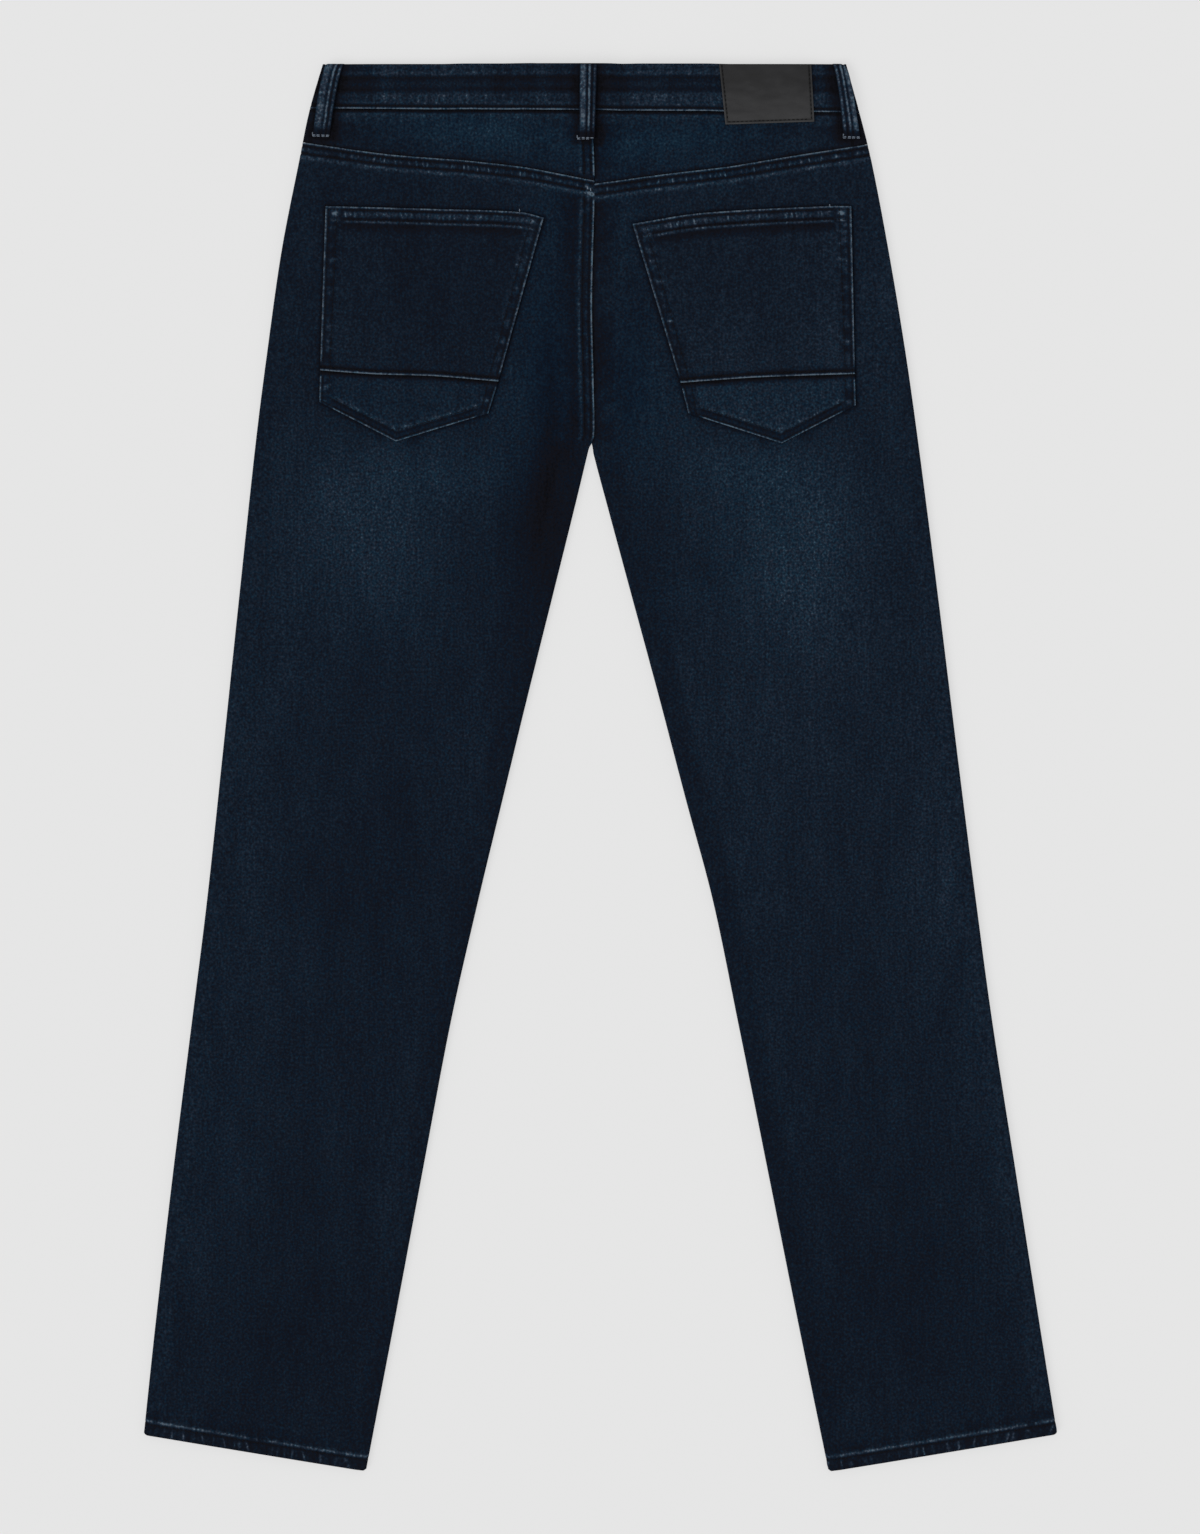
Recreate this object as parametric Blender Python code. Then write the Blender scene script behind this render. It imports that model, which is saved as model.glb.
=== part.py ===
"""Straight leg jeans, laid flat on a floor with the seat uppermost.

Units are metres, +Z is up. +Y runs from the hems to the waist and +X to the wearer's right.
The front lies on the floor at Z = 0 and the back lies on the front. Each cut piece is a wall of
cloth with an outer and an inner face, made from rows of points between two edges.
"""

from collections import namedtuple
from math import cos, exp, pi, radians, sin, sqrt

import bmesh
import bpy

# ---- Cloth and seams ------------------------------------------------------------------------
CLOTH = 0.0011  # one ply of denim
BAND_CLOTH = 0.0019  # the waistband, two plies
HEM_CLOTH = 0.0021  # the hem, turned up twice
LOOP_CLOTH = 0.0016
LEATHER = 0.0012
SEAM_GAP = 0.0003
SEAM_RAISE = 0.0009  # a felled seam stands this much above the ply beside it
MARGIN_RAISE = 0.0006  # the turned-in edge of a pocket
EDGE_SOFTENING = 0.0005  # how far the face drops at a folded edge
EDGE_SOFTENING_REACH = 0.001
FOLD_RADIUS = 0.0025  # side seams and inseams roll over, 5 mm thick
ROLL_REACH = 0.018  # how far in from a fold the cloth settles
FOLD_ANGLES = tuple(radians(degrees) for degrees in (86.6, 58.0, 29.0, 0.0))
SHARP_ANGLE = radians(40.0)

# ---- Heights of the back's upper face above the floor ----------------------------------------
LEG_TOP = 0.0027
SEAT_RISE = 0.0015  # pocket facings and fly lie under the seat
SEAT_RISE_LOW_Y = 0.250
SEAT_RISE_HIGH_Y = 0.380
HEM_RISE = 0.0009
HEM_RISE_REACH = 0.045

# ---- Outline ---------------------------------------------------------------------------------
WAIST_Y = 0.5774
CROTCH_X = -0.0074
CROTCH_Y = 0.2645

Width = namedtuple("Width", "y left right")

SIDE_SEAMS = (
    Width(y=0.5774, left=-0.2267, right=0.2012),
    Width(y=0.5396, left=-0.2382, right=0.2115),
    Width(y=0.4986, left=-0.2472, right=0.2218),
    Width(y=0.4246, left=-0.2616, right=0.2361),
    Width(y=0.3425, left=-0.2729, right=0.2501),
    Width(y=0.2686, left=-0.2826, right=0.2604),
    Width(y=0.1372, left=-0.2965, right=0.2776),
    Width(y=0.0058, left=-0.3105, right=0.2936),
    Width(y=-0.1092, left=-0.3228, right=0.3080),
    Width(y=-0.2078, left=-0.3351, right=0.3212),
    Width(y=-0.3310, left=-0.3505, right=0.3405),
    Width(y=-0.4542, left=-0.3647, right=0.3598),
    Width(y=-0.5474, left=-0.3746, right=0.3749),
)

INSEAMS = (
    Width(y=CROTCH_Y, left=CROTCH_X, right=CROTCH_X),
    Width(y=0.2193, left=-0.0205, right=0.0049),
    Width(y=0.1372, left=-0.0411, right=0.0271),
    Width(y=0.0550, left=-0.0616, right=0.0493),
    Width(y=-0.0271, left=-0.0813, right=0.0710),
    Width(y=-0.1092, left=-0.1010, right=0.0928),
    Width(y=-0.2078, left=-0.1232, right=0.1134),
    Width(y=-0.3310, left=-0.1465, right=0.1380),
    Width(y=-0.4542, left=-0.1696, right=0.1626),
    Width(y=-0.5758, left=-0.1922, right=0.1881),
)

Spot = namedtuple("Spot", "x y")
Hem = namedtuple("Hem", "side inseam")

HEMS = {
    "left": Hem(side=Spot(-0.3746, -0.5474), inseam=Spot(-0.1922, -0.5758)),
    "right": Hem(side=Spot(0.3749, -0.5458), inseam=Spot(0.1881, -0.5780)),
}
HEM_DEPTH = 0.0120
HEM_CORNER = 0.0020  # the hem's corners are a little round
HEM_CORNER_REACH = 0.0038
CROTCH_FOLD_LENGTH = 0.035  # the seam's edges roll over into the inseams along this
CROTCH_CLEAR = 0.001

# ---- Seams across the seat -------------------------------------------------------------------
WAIST_SEAM = (Spot(-0.2382, 0.5405), Spot(-0.0160, 0.5384), Spot(0.2115, 0.5372))

YOKE_SEAMS = {
    "left": (
        Spot(-0.2435, 0.5126),
        Spot(-0.1791, 0.5033),
        Spot(-0.1158, 0.4978),
        Spot(-0.0616, 0.4915),
        Spot(-0.0033, 0.4807),
    ),
    "right": (
        Spot(-0.0008, 0.4789),
        Spot(0.0506, 0.4857),
        Spot(0.1010, 0.4919),
        Spot(0.1511, 0.5002),
        Spot(0.2191, 0.5109),
    ),
}

CENTRE_BACK = (
    Spot(-0.0066, 0.5384),
    Spot(-0.0045, 0.4846),
    Spot(-0.0066, 0.3811),
    Spot(-0.0052, 0.3100),
    Spot(CROTCH_X, CROTCH_Y),
)
SEAM_BAND = 0.0105  # width of a felled seam
SEAM_STEP = 0.0015  # its inner side slopes down over this width

# ---- Front, closure and fly ------------------------------------------------------------------
CENTRE_FRONT = (Spot(-0.0115, 0.5384), Spot(CROTCH_X, CROTCH_Y))
FRONT_DROP = 0.012  # the front waist lies lower than the back at its centre
FLY_FOOT_Y = 0.380
FLY_FADE = 0.014
UNDERLAP = 0.012  # the right front tucks under the fly
UNDERLAP_LIFT = CLOTH + 0.0005
UNDERLAP_RAMP = 0.015
BAND_UNDERLAP = 0.040  # the right end of the waistband runs under the left end
BAND_UNDERLAP_LIFT = BAND_CLOTH + SEAM_GAP
CLOSURE_RISE = BAND_CLOTH
CLOSURE_MARGIN = 0.004
CLOSURE_FADE = 0.028
CLOSURE_LOW_Y = 0.450
CLOSURE_HIGH_Y = 0.515

BUTTON_SETBACK = 0.015  # from the left end of the waistband
BUTTON_RADIUS = 0.0085
BUTTON_FACE = 0.0015
SHANK_RADIUS = 0.0028
BUTTONHOLE = 0.0066
BUTTON_SEGMENTS = 20

# round the button: share of its radius, and height above the floor
ButtonRing = namedtuple("ButtonRing", "share height")
BUTTON_PROFILE = (
    ButtonRing(0.80, 0.0),
    ButtonRing(0.95, 0.0003),
    ButtonRing(1.00, 0.0008),
    ButtonRing(0.95, BUTTON_FACE),
)
SHANK_FLARE = 1.1
SHANK_FLARE_HEIGHT = 0.0003

# what lies under the front lifts it off the floor
Lift = namedtuple("Lift", "x reach height foot_y")
LIFT_FADE = 0.022
LIFT_FOOT_FADE = 0.045
BUTTON_LIFT_REACH = 0.018
LOOP_LIFT_REACH = 0.016
LOOP_LIFT_MARGIN = 0.005
BACK_LIFT_SHARE = 1.1  # the back rises a little more and wider, so it clears the front
BACK_LIFT_SPARE = 0.010
FACING_LIFT_SPARE = 0.006

ZIP_WIDTH = 0.022
ZIP_TAPE = 0.0008
CHAIN_WIDTH = 0.006
CHAIN_RAISE = 0.0004
CHAIN_SLOPE = 0.001
ZIP_CLEAR = 0.001  # from the edge of the right front
ZIP_TOP_CLEAR = 0.002
ZIP_ROWS = 10
SLIDER_LENGTH = 0.018
SLIDER_WIDTH = 0.008
SLIDER_THICKNESS = 0.0010
SLIDER_TOP_CLEAR = 0.006

# down the slider and its tab: share of the length, and share of the width
SliderSection = namedtuple("SliderSection", "down width")
SLIDER_OUTLINE = (
    SliderSection(0.00, 0.70),
    SliderSection(0.12, 1.00),
    SliderSection(0.36, 0.90),
    SliderSection(0.44, 0.45),
    SliderSection(0.90, 0.55),
    SliderSection(1.00, 0.35),
)

SCOOP_WIDTH = 0.105  # front pocket mouth, along the waist
SCOOP_DEPTH = 0.076  # and down the side seam
FACING_OVERLAP = 0.012
FACING_SET_IN = 2 * CLOTH  # clear of the side fold
FACING_INNER_CUT = 0.010  # its curved foot is cut off straight at the inner side

# ---- Belt loops, pockets and patch -----------------------------------------------------------
Loop = namedtuple("Loop", "name top bottom top_width bottom_width")

BACK_LOOPS = (
    Loop("belt_loop_left", Spot(-0.2180, WAIST_Y), Spot(-0.2288, 0.5175), 0.0150, 0.0150),
    Loop("belt_loop_centre", Spot(-0.0099, WAIST_Y), Spot(-0.0115, 0.5167), 0.0148, 0.0148),
    Loop("belt_loop_right", Spot(0.1962, WAIST_Y), Spot(0.2070, 0.5167), 0.0115, 0.0148),
)
LOOP_ARCH = 0.0013
LOOP_LENGTH = 0.060
LOOP_WIDTH = 0.0148
FRONT_LOOP_SPACING = 0.072  # from the centre front
LOOP_LEVELS = (0.0, 0.03, 0.16, 0.30, 0.44, 0.58, 0.72, 0.86, 0.94, 1.0)

# across a loop: share of the width, and how far the face lies below the ridge
LoopStrip = namedtuple("LoopStrip", "share below")
LOOP_PROFILE = (
    LoopStrip(0.00, 0.0006),
    LoopStrip(0.08, 0.0000),
    LoopStrip(0.54, 0.0000),
    LoopStrip(0.66, 0.0005),
    LoopStrip(0.84, 0.0001),
    LoopStrip(1.00, 0.0006),
)

Pocket = namedtuple("Pocket", "mouth seam tip outer_foot inner_foot")

POCKETS = {
    "left": Pocket(
        mouth=(
            Spot(-0.2251, 0.4601),
            Spot(-0.1400, 0.4578),
            Spot(-0.0653, 0.4551),
            Spot(-0.0462, 0.4506),
        ),
        seam=(
            Spot(-0.2296, 0.3255),
            Spot(-0.1848, 0.3223),
            Spot(-0.1364, 0.3208),
            Spot(-0.0836, 0.3164),
        ),
        tip=Spot(-0.1675, 0.2673),
        outer_foot=Spot(-0.2303, 0.2996),
        inner_foot=Spot(-0.0917, 0.2903),
    ),
    "right": Pocket(
        mouth=(
            Spot(0.2070, 0.4601),
            Spot(0.1880, 0.4601),
            Spot(0.0821, 0.4542),
            Spot(0.0267, 0.4455),
        ),
        seam=(Spot(0.2100, 0.3226), Spot(0.1264, 0.3196), Spot(0.0663, 0.3153)),
        tip=Spot(0.1492, 0.2658),
        outer_foot=Spot(0.2108, 0.2970),
        inner_foot=Spot(0.0726, 0.2903),
    ),
}
POCKET_MARGIN = 0.0085
POCKET_HEM = 0.0115
POCKET_LAP = 0.0025
POCKET_COLUMNS = 8
POCKET_ROWS = 6
POCKET_FOOT_MIDDLE = 0.35

PATCH_GAP = 0.0004
PATCH_ROWS = 9
PATCH_COLUMNS = 10
BACKING_SLOPE = 0.006  # the step below the waistband, drawn out under a loop or the patch
BACKING_SLOPE_END = 0.0005
PATCH_CORNERS = {
    "top_left": Spot(0.0977, WAIST_Y - 0.0004),
    "top_right": Spot(0.1733, WAIST_Y - 0.0004),
    "bottom_left": Spot(0.1029, 0.5272),
    "bottom_right": Spot(0.1758, 0.5296),
}

# ---- Columns and rows of points --------------------------------------------------------------
# Columns are distances in from a piece's edge, closest where its form turns. Rows are distances
# down from a piece's top or the crotch.
ROLLED_ALL_ALONG = (0.0, 0.0, 0.0, 0.0)
BACK_SIDE_COLUMNS = (0.009, 0.020, 0.038, 0.066)
BACK_INNER_COLUMNS = (0.018, 0.032, 0.058)
SEAM_BAND_COLUMNS = (0.0, 0.0045, SEAM_BAND - SEAM_STEP, SEAM_BAND)
BELOW_LOOP_COLUMNS = (0.008, 0.015, 0.023, 0.034)
YOKE_INNER_COLUMNS = (0.022, 0.034, 0.046, 0.060)
YOKE_MIDDLE_COLUMNS = 9
YOKE_ROWS = 5
BAND_MIDDLE_COLUMNS = 30
BAND_LEVELS = (0.0, 0.03, 0.36, 0.68, 1.0)
FRONT_SIDE_COLUMNS = (0.012, 0.032, 0.056, 0.080, 0.096, 0.102, SCOOP_WIDTH)
FRONT_INNER_COLUMNS = (UNDERLAP + UNDERLAP_RAMP, 0.040, 0.055, 0.072, 0.089, 0.105)
FRONT_FLY_ROWS = (0.0, 0.024, 0.045, 0.075, 0.105, 0.118, 0.132, 0.146)
FACING_OUTER_COLUMNS = (0.0, 0.025, 0.050)
FACING_INNER_COLUMNS = (0.0, 0.010, 0.025)
FACING_ROWS = 4
FRONT_BAND_SIDE_COLUMNS = (0.012, 0.030)
FRONT_BAND_MIDDLE_COLUMNS = 9
BUTTON_END_COLUMNS = (
    0.0,
    0.005,
    BUTTON_SETBACK - BUTTONHOLE / 2,
    BUTTON_SETBACK + BUTTONHOLE / 2,
    0.032,
    0.046,
)
UNDERLAP_END_COLUMNS = (
    0.0,
    0.013,
    0.025,
    BAND_UNDERLAP + SEAM_GAP,
    BAND_UNDERLAP + SEAM_GAP + UNDERLAP_RAMP,
)
SEAT_ROWS = 10
CROTCH_ROWS = (0.009, 0.018, 0.035)
THIGH_START = 0.060
BACK_LEG_ROWS = 9
FRONT_LEG_ROWS = 8
FRONT_SEAT_ROWS = 4
MEETING_STEPS = 12

# ---- Colours: base colour, roughness, metallic -----------------------------------------------
Finish = namedtuple("Finish", "colour roughness metallic")
FINISHES = {
    "denim": Finish((0.0050, 0.0110, 0.0210), 0.85, 0.0),
    "denim_dark": Finish((0.0042, 0.0085, 0.0165), 0.85, 0.0),
    "leather": Finish((0.0260, 0.0260, 0.0270), 0.60, 0.0),
    "zip_tape": Finish((0.0080, 0.0100, 0.0160), 0.80, 0.0),
    "brass": Finish((0.3000, 0.2100, 0.1000), 0.35, 1.0),
}


# ---- Small maths -----------------------------------------------------------------------------
def mix(start, end, share):
    return start + (end - start) * share


def ease(low, high, value):
    """0 at low, 1 at high, smooth between them."""
    share = min(max((value - low) / (high - low), 0.0), 1.0)
    return share * share * (3.0 - 2.0 * share)


def smooth_curve(points):
    """A smooth function through (position, value) points, straight past both ends."""
    points = sorted(points)
    last = len(points) - 1
    slopes = []
    for index in range(last + 1):
        before = points[max(index - 1, 0)]
        after = points[min(index + 1, last)]
        slopes.append((after[1] - before[1]) / (after[0] - before[0]))

    def value_at(position):
        if position <= points[0][0]:
            return points[0][1] + slopes[0] * (position - points[0][0])
        if position >= points[last][0]:
            return points[last][1] + slopes[last] * (position - points[last][0])
        index = max(i for i in range(last) if points[i][0] <= position)
        span = points[index + 1][0] - points[index][0]
        t = (position - points[index][0]) / span
        return (
            (2 * t**3 - 3 * t**2 + 1) * points[index][1]
            + (t**3 - 2 * t**2 + t) * span * slopes[index]
            + (3 * t**2 - 2 * t**3) * points[index + 1][1]
            + (t**3 - t**2) * span * slopes[index + 1]
        )

    return value_at


def spread(start, end, count):
    """Evenly spaced values from start to end, both included."""
    return [mix(start, end, index / (count - 1)) for index in range(count)]


# ---- Lines of the garment, as functions ------------------------------------------------------
side_seam = {
    "left": smooth_curve([(row.y, row.left) for row in SIDE_SEAMS]),
    "right": smooth_curve([(row.y, row.right) for row in SIDE_SEAMS]),
}
inseam = {
    "left": smooth_curve([(row.y, row.left) for row in INSEAMS]),
    "right": smooth_curve([(row.y, row.right) for row in INSEAMS]),
}
waist_seam = smooth_curve(WAIST_SEAM)
yoke_seam = {side: smooth_curve(spots) for side, spots in YOKE_SEAMS.items()}
centre_back = smooth_curve([(spot.y, spot.x) for spot in CENTRE_BACK])
centre_front = smooth_curve([(spot.y, spot.x) for spot in CENTRE_FRONT])
CLOSURE_X = CENTRE_FRONT[0].x


def hem_line(side, x):
    """Height of the hem's lower edge, with round corners."""
    hem = HEMS[side]
    share = (x - hem.side.x) / (hem.inseam.x - hem.side.x)
    line = mix(hem.side.y, hem.inseam.y, share)
    from_corner = min(abs(x - hem.side.x), abs(x - hem.inseam.x))
    return line + HEM_CORNER * max(0.0, 1.0 - from_corner / HEM_CORNER_REACH) ** 2


def front_drop(x):
    half_width = (side_seam["right"](WAIST_Y) - side_seam["left"](WAIST_Y)) / 2
    middle = (side_seam["right"](WAIST_Y) + side_seam["left"](WAIST_Y)) / 2
    return FRONT_DROP * max(0.0, 1.0 - ((x - middle) / half_width) ** 2)


def front_waist_seam(x):
    return waist_seam(x) - front_drop(x)


def front_pocket_mouth(side, x):
    """The front's upper edge: the waist seam, cut away by a quarter ellipse at the side."""
    from_side = abs(x - side_seam[side](front_waist_seam(x)))
    share = min(from_side / SCOOP_WIDTH, 1.0)
    return front_waist_seam(x) - SCOOP_DEPTH * sqrt(1.0 - share * share)


# ---- What lies under the front and lifts it ---------------------------------------------------
BUTTON_X = CLOSURE_X - BUTTON_SETBACK
BUTTON_Y = WAIST_Y - front_drop(BUTTON_X) - (WAIST_Y - waist_seam(BUTTON_X)) / 2
FRONT_LOOP_XS = (CLOSURE_X - FRONT_LOOP_SPACING, CLOSURE_X + FRONT_LOOP_SPACING)
LIFTS = [Lift(BUTTON_X, BUTTON_LIFT_REACH, BUTTON_FACE + SEAM_GAP, front_waist_seam(BUTTON_X))]
LOOP_LIFT_Y = WAIST_Y - front_drop(FRONT_LOOP_XS[0]) - LOOP_LENGTH - LOOP_LIFT_MARGIN
LIFTS += [Lift(x, LOOP_LIFT_REACH, LOOP_CLOTH + 2 * SEAM_GAP, LOOP_LIFT_Y) for x in FRONT_LOOP_XS]


def front_lift(x, y, spare=0.0):
    """How far the front stands off the floor; spare widens each rise, for what lies above it."""
    lifts = []
    for lift in LIFTS:
        across = 1.0 - ease(lift.reach + spare, lift.reach + spare + LIFT_FADE, abs(x - lift.x))
        along = ease(lift.foot_y - spare - LIFT_FOOT_FADE, lift.foot_y - spare, y)
        lifts.append(lift.height * across * along)
    return max(lifts)


def closure_rise(x, y):
    """Rise of the back over the overlapping ends of the waistband."""
    left_end = CLOSURE_X - BAND_UNDERLAP - CLOSURE_MARGIN
    right_end = CLOSURE_X + UNDERLAP_RAMP
    across = ease(left_end - CLOSURE_FADE, left_end, x) - ease(right_end, right_end + CLOSURE_FADE, x)
    along = ease(CLOSURE_LOW_Y, CLOSURE_HIGH_Y, y)
    return CLOSURE_RISE * across * along


def back_top(x, y, side):
    """Upper face of a single ply of the back, away from its folds."""
    top = LEG_TOP + SEAT_RISE * ease(SEAT_RISE_LOW_Y, SEAT_RISE_HIGH_Y, y)
    top += closure_rise(x, y) + BACK_LIFT_SHARE * front_lift(x, y, spare=BACK_LIFT_SPARE)
    above_hem = y - hem_line(side, x)
    return top + HEM_RISE * (1.0 - ease(HEM_DEPTH + SEAM_STEP, HEM_RISE_REACH, above_hem))


def ply_face(x, y, raised=0.0):
    """Upper face of the back at the seat, with its folds at the sides."""
    from_left = max(x - side_seam["left"](y), 0.0)
    from_right = max(side_seam["right"](y) - x, 0.0)
    side = "left" if x < CROTCH_X else "right"
    return settle(Place(x, y, from_left, from_right, 0.0, 0.0, 1.0, 1.0), back_top(x, y, side) + raised)


# ---- Making walls of cloth -------------------------------------------------------------------
Edge = namedtuple("Edge", "x inward fold")  # x(y), direction into the piece, fold(y) from 0 to 1
Column = namedtuple("Column", "distance angle")  # distance in from its edge; angle round a fold
Place = namedtuple("Place", "x y from_a from_b below_top above_bottom fold_a fold_b")

UP = 1
DOWN = -1
FACES = (True, False)  # outer, inner


def meet(edge, line):
    """Height at which an edge of the piece meets the line that ends it."""
    y = line(edge.x(CROTCH_Y))
    for _ in range(MEETING_STEPS):
        y = line(edge.x(y))
    return y


def fold_columns(flat_distances):
    """Columns round a fold, from its end inwards; flat_distances hold where it lies flat."""
    return [Column(distance, angle) for distance, angle in zip(flat_distances, FOLD_ANGLES)]


def plain_columns(distances):
    return [Column(distance, None) for distance in distances]


def lay_piece(edge_a, edge_b, top, bottom, levels, columns_a, columns_b, middle, facing, face, cloth):
    """Rows of (outer, inner) points for a piece between two edges.

    face(place) is the height of the outer face, cloth(place) the thickness. facing is UP for the
    back and DOWN for the front, whose outer face is underneath.
    """
    top_y = (meet(edge_a, top), meet(edge_b, top))
    bottom_y = (meet(edge_a, bottom), meet(edge_b, bottom))
    top_x = (edge_a.x(top_y[0]), edge_b.x(top_y[1]))
    bottom_x = (edge_a.x(bottom_y[0]), edge_b.x(bottom_y[1]))
    rows = []
    for level in levels:
        y_a = mix(top_y[0], bottom_y[0], level)
        y_b = mix(top_y[1], bottom_y[1], level)
        x_a = edge_a.x(y_a)
        x_b = edge_b.x(y_b)
        fold_a = edge_a.fold(y_a)
        fold_b = edge_b.fold(y_b)
        narrowing = min(1.0, (x_b - x_a) / (top_x[1] - top_x[0]))

        def point(x_flat, edge_x, inward, fold, angle, is_outer):
            share = (x_flat - x_a) / (x_b - x_a)
            top_here = top(mix(top_x[0], top_x[1], share))
            bottom_here = bottom(mix(bottom_x[0], bottom_x[1], share))
            y = mix(top_here, bottom_here, level)
            from_edges = (abs(x_flat - x_a), abs(x_b - x_flat))
            place = Place(x_flat, y, *from_edges, top_here - y, y - bottom_here, fold_a, fold_b)
            thickness = cloth(place)
            z_flat = face(place) if is_outer else face(place) - facing * thickness
            if angle is None:
                return (x_flat, y, z_flat)
            radius = FOLD_RADIUS if is_outer else FOLD_RADIUS - thickness
            x_fold = edge_x + inward * (FOLD_RADIUS - radius * sin(angle))
            z_fold = FOLD_RADIUS + facing * radius * cos(angle)
            return (mix(x_flat, x_fold, fold), y, mix(z_flat, z_fold, fold))

        def column_pair(column, edge_x, inward, fold):
            if column.angle is None:
                distance = column.distance * narrowing
            else:
                distance = mix(column.distance, FOLD_RADIUS * (1.0 - sin(column.angle)), fold)
            x_flat = edge_x + inward * distance
            return tuple(point(x_flat, edge_x, inward, fold, column.angle, outer) for outer in FACES)

        row = [column_pair(column, x_a, edge_a.inward, fold_a) for column in columns_a]
        start = x_a + edge_a.inward * columns_a[-1].distance * narrowing
        end = x_b + edge_b.inward * columns_b[-1].distance * narrowing
        for x_middle in spread(start, end, middle + 2)[1:-1]:
            row.append(tuple(point(x_middle, x_a, 1, 0.0, None, outer) for outer in FACES))
        row += [column_pair(column, x_b, edge_b.inward, fold_b) for column in reversed(columns_b)]
        rows.append(row)
    return rows


def settle(place, flat_height):
    """Raise a flat height towards the folds beside it."""
    near_a = place.fold_a * exp(-((max(place.from_a - FOLD_RADIUS, 0.0) / ROLL_REACH) ** 2))
    near_b = place.fold_b * exp(-((max(place.from_b - FOLD_RADIUS, 0.0) / ROLL_REACH) ** 2))
    return mix(flat_height, 2 * FOLD_RADIUS, max(near_a, near_b))


def add_object(name, mesh_data, finish):
    mesh = bpy.data.meshes.new(name)
    mesh_data.to_mesh(mesh)
    mesh_data.free()
    mesh.shade_smooth()
    mesh.set_sharp_from_angle(angle=SHARP_ANGLE)
    mesh.materials.append(materials[finish])
    piece = bpy.data.objects.new(name, mesh)
    bpy.context.scene.collection.objects.link(piece)
    return piece


def wall_of_cloth(name, rows, finish, openings=()):
    """One closed solid from rows of (outer, inner) points; openings are cells left out."""
    shape = bmesh.new()
    grids = [[[shape.verts.new(pair[face]) for pair in row] for row in rows] for face in (0, 1)]
    last_row = len(rows) - 1
    last_column = len(rows[0]) - 1

    def is_cloth(i, j):
        return 0 <= i < last_row and 0 <= j < last_column and (i, j) not in openings

    for i in range(last_row):
        for j in range(last_column):
            if not is_cloth(i, j):
                continue
            corners = ((i, j), (i, j + 1), (i + 1, j + 1), (i + 1, j))
            for grid in grids:
                a, b, c, d = (grid[row][column] for row, column in corners)
                shape.faces.new((a, b, c))
                shape.faces.new((a, c, d))
            neighbours = ((i - 1, j), (i, j + 1), (i + 1, j), (i, j - 1))
            for side, neighbour in enumerate(neighbours):
                if is_cloth(*neighbour):
                    continue
                start = corners[side]
                end = corners[(side + 1) % 4]
                a, b = (grids[0][row][column] for row, column in (start, end))
                c, d = (grids[1][row][column] for row, column in (end, start))
                shape.faces.new((a, b, c))
                shape.faces.new((a, c, d))
    unused = [vertex for vertex in shape.verts if not vertex.link_faces]
    bmesh.ops.delete(shape, geom=unused, context="VERTS")
    bmesh.ops.recalc_face_normals(shape, faces=shape.faces)
    return add_object(name, shape, finish)


# ---- Back: yokes and seat-and-leg pieces -----------------------------------------------------
def flat(_y):
    return 0.0


def folded(_y):
    return 1.0


def leg_fold(y):
    """The inner edge lies flat at the seat and rolls over below the crotch."""
    return 1.0 - ease(CROTCH_Y - CROTCH_FOLD_LENGTH, CROTCH_Y - CROTCH_CLEAR, y)


def side_edge(side):
    return Edge(side_seam[side], -away_from_centre(side), folded)


def away_from_centre(side):
    return -1 if side == "left" else 1


def back_inner_edge(side, fold):
    """The centre seam above the crotch and the inseam below it."""

    def x_at(y):
        line = centre_back(y) if y > CROTCH_Y else inseam[side](y)
        return line + away_from_centre(side) * SEAM_GAP / 2

    return Edge(x_at, away_from_centre(side), fold)


def band_height(distance):
    """Raised band of a felled seam, by distance from its free edge."""
    return SEAM_RAISE * (1.0 - ease(SEAM_BAND - SEAM_STEP, SEAM_BAND, distance))


def leg_levels(length, crotch, leg_rows):
    """Levels below the crotch, as shares of a piece's length."""
    levels = [crotch + drop / length for drop in CROTCH_ROWS]
    levels += spread(crotch + THIGH_START / length, 1.0 - HEM_RISE_REACH / length, leg_rows)
    levels += [1.0 - drop / length for drop in (HEM_DEPTH + SEAM_STEP, HEM_DEPTH, 0.0)]
    return levels


def back_levels(side):
    """Levels down a back piece: seam band, seat, crotch, leg and hem."""
    length = yoke_seam[side](CROTCH_X) - HEMS[side].inseam.y
    crotch = (yoke_seam[side](CROTCH_X) - CROTCH_Y) / length
    levels = [0.0, (SEAM_BAND - SEAM_STEP) / length, SEAM_BAND / length]
    levels += spread(levels[-1], crotch, SEAT_ROWS)[1:]
    return levels + leg_levels(length, crotch, BACK_LEG_ROWS)


def make_back(side):
    has_band = side == "left"  # the left half laps over the right at the centre back

    def raise_at(place):
        height = band_height(place.below_top)
        if has_band:
            height = max(height, band_height(place.from_b) * (1.0 - place.fold_b))
        in_hem = 1.0 - ease(HEM_DEPTH, HEM_DEPTH + SEAM_STEP, place.above_bottom)
        return max(height, (HEM_CLOTH - CLOTH) * in_hem)

    rows = lay_piece(
        side_edge(side),
        back_inner_edge(side, leg_fold),
        top=yoke_seam[side],
        bottom=lambda x: hem_line(side, x),
        levels=back_levels(side),
        columns_a=fold_columns(ROLLED_ALL_ALONG) + plain_columns(BACK_SIDE_COLUMNS),
        columns_b=fold_columns(SEAM_BAND_COLUMNS) + plain_columns(BACK_INNER_COLUMNS),
        middle=2,
        facing=UP,
        face=lambda place: settle(place, back_top(place.x, place.y, side) + raise_at(place)),
        cloth=lambda place: CLOTH + raise_at(place),
    )
    wall_of_cloth(f"back_{side}", rows, "denim")


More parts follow.
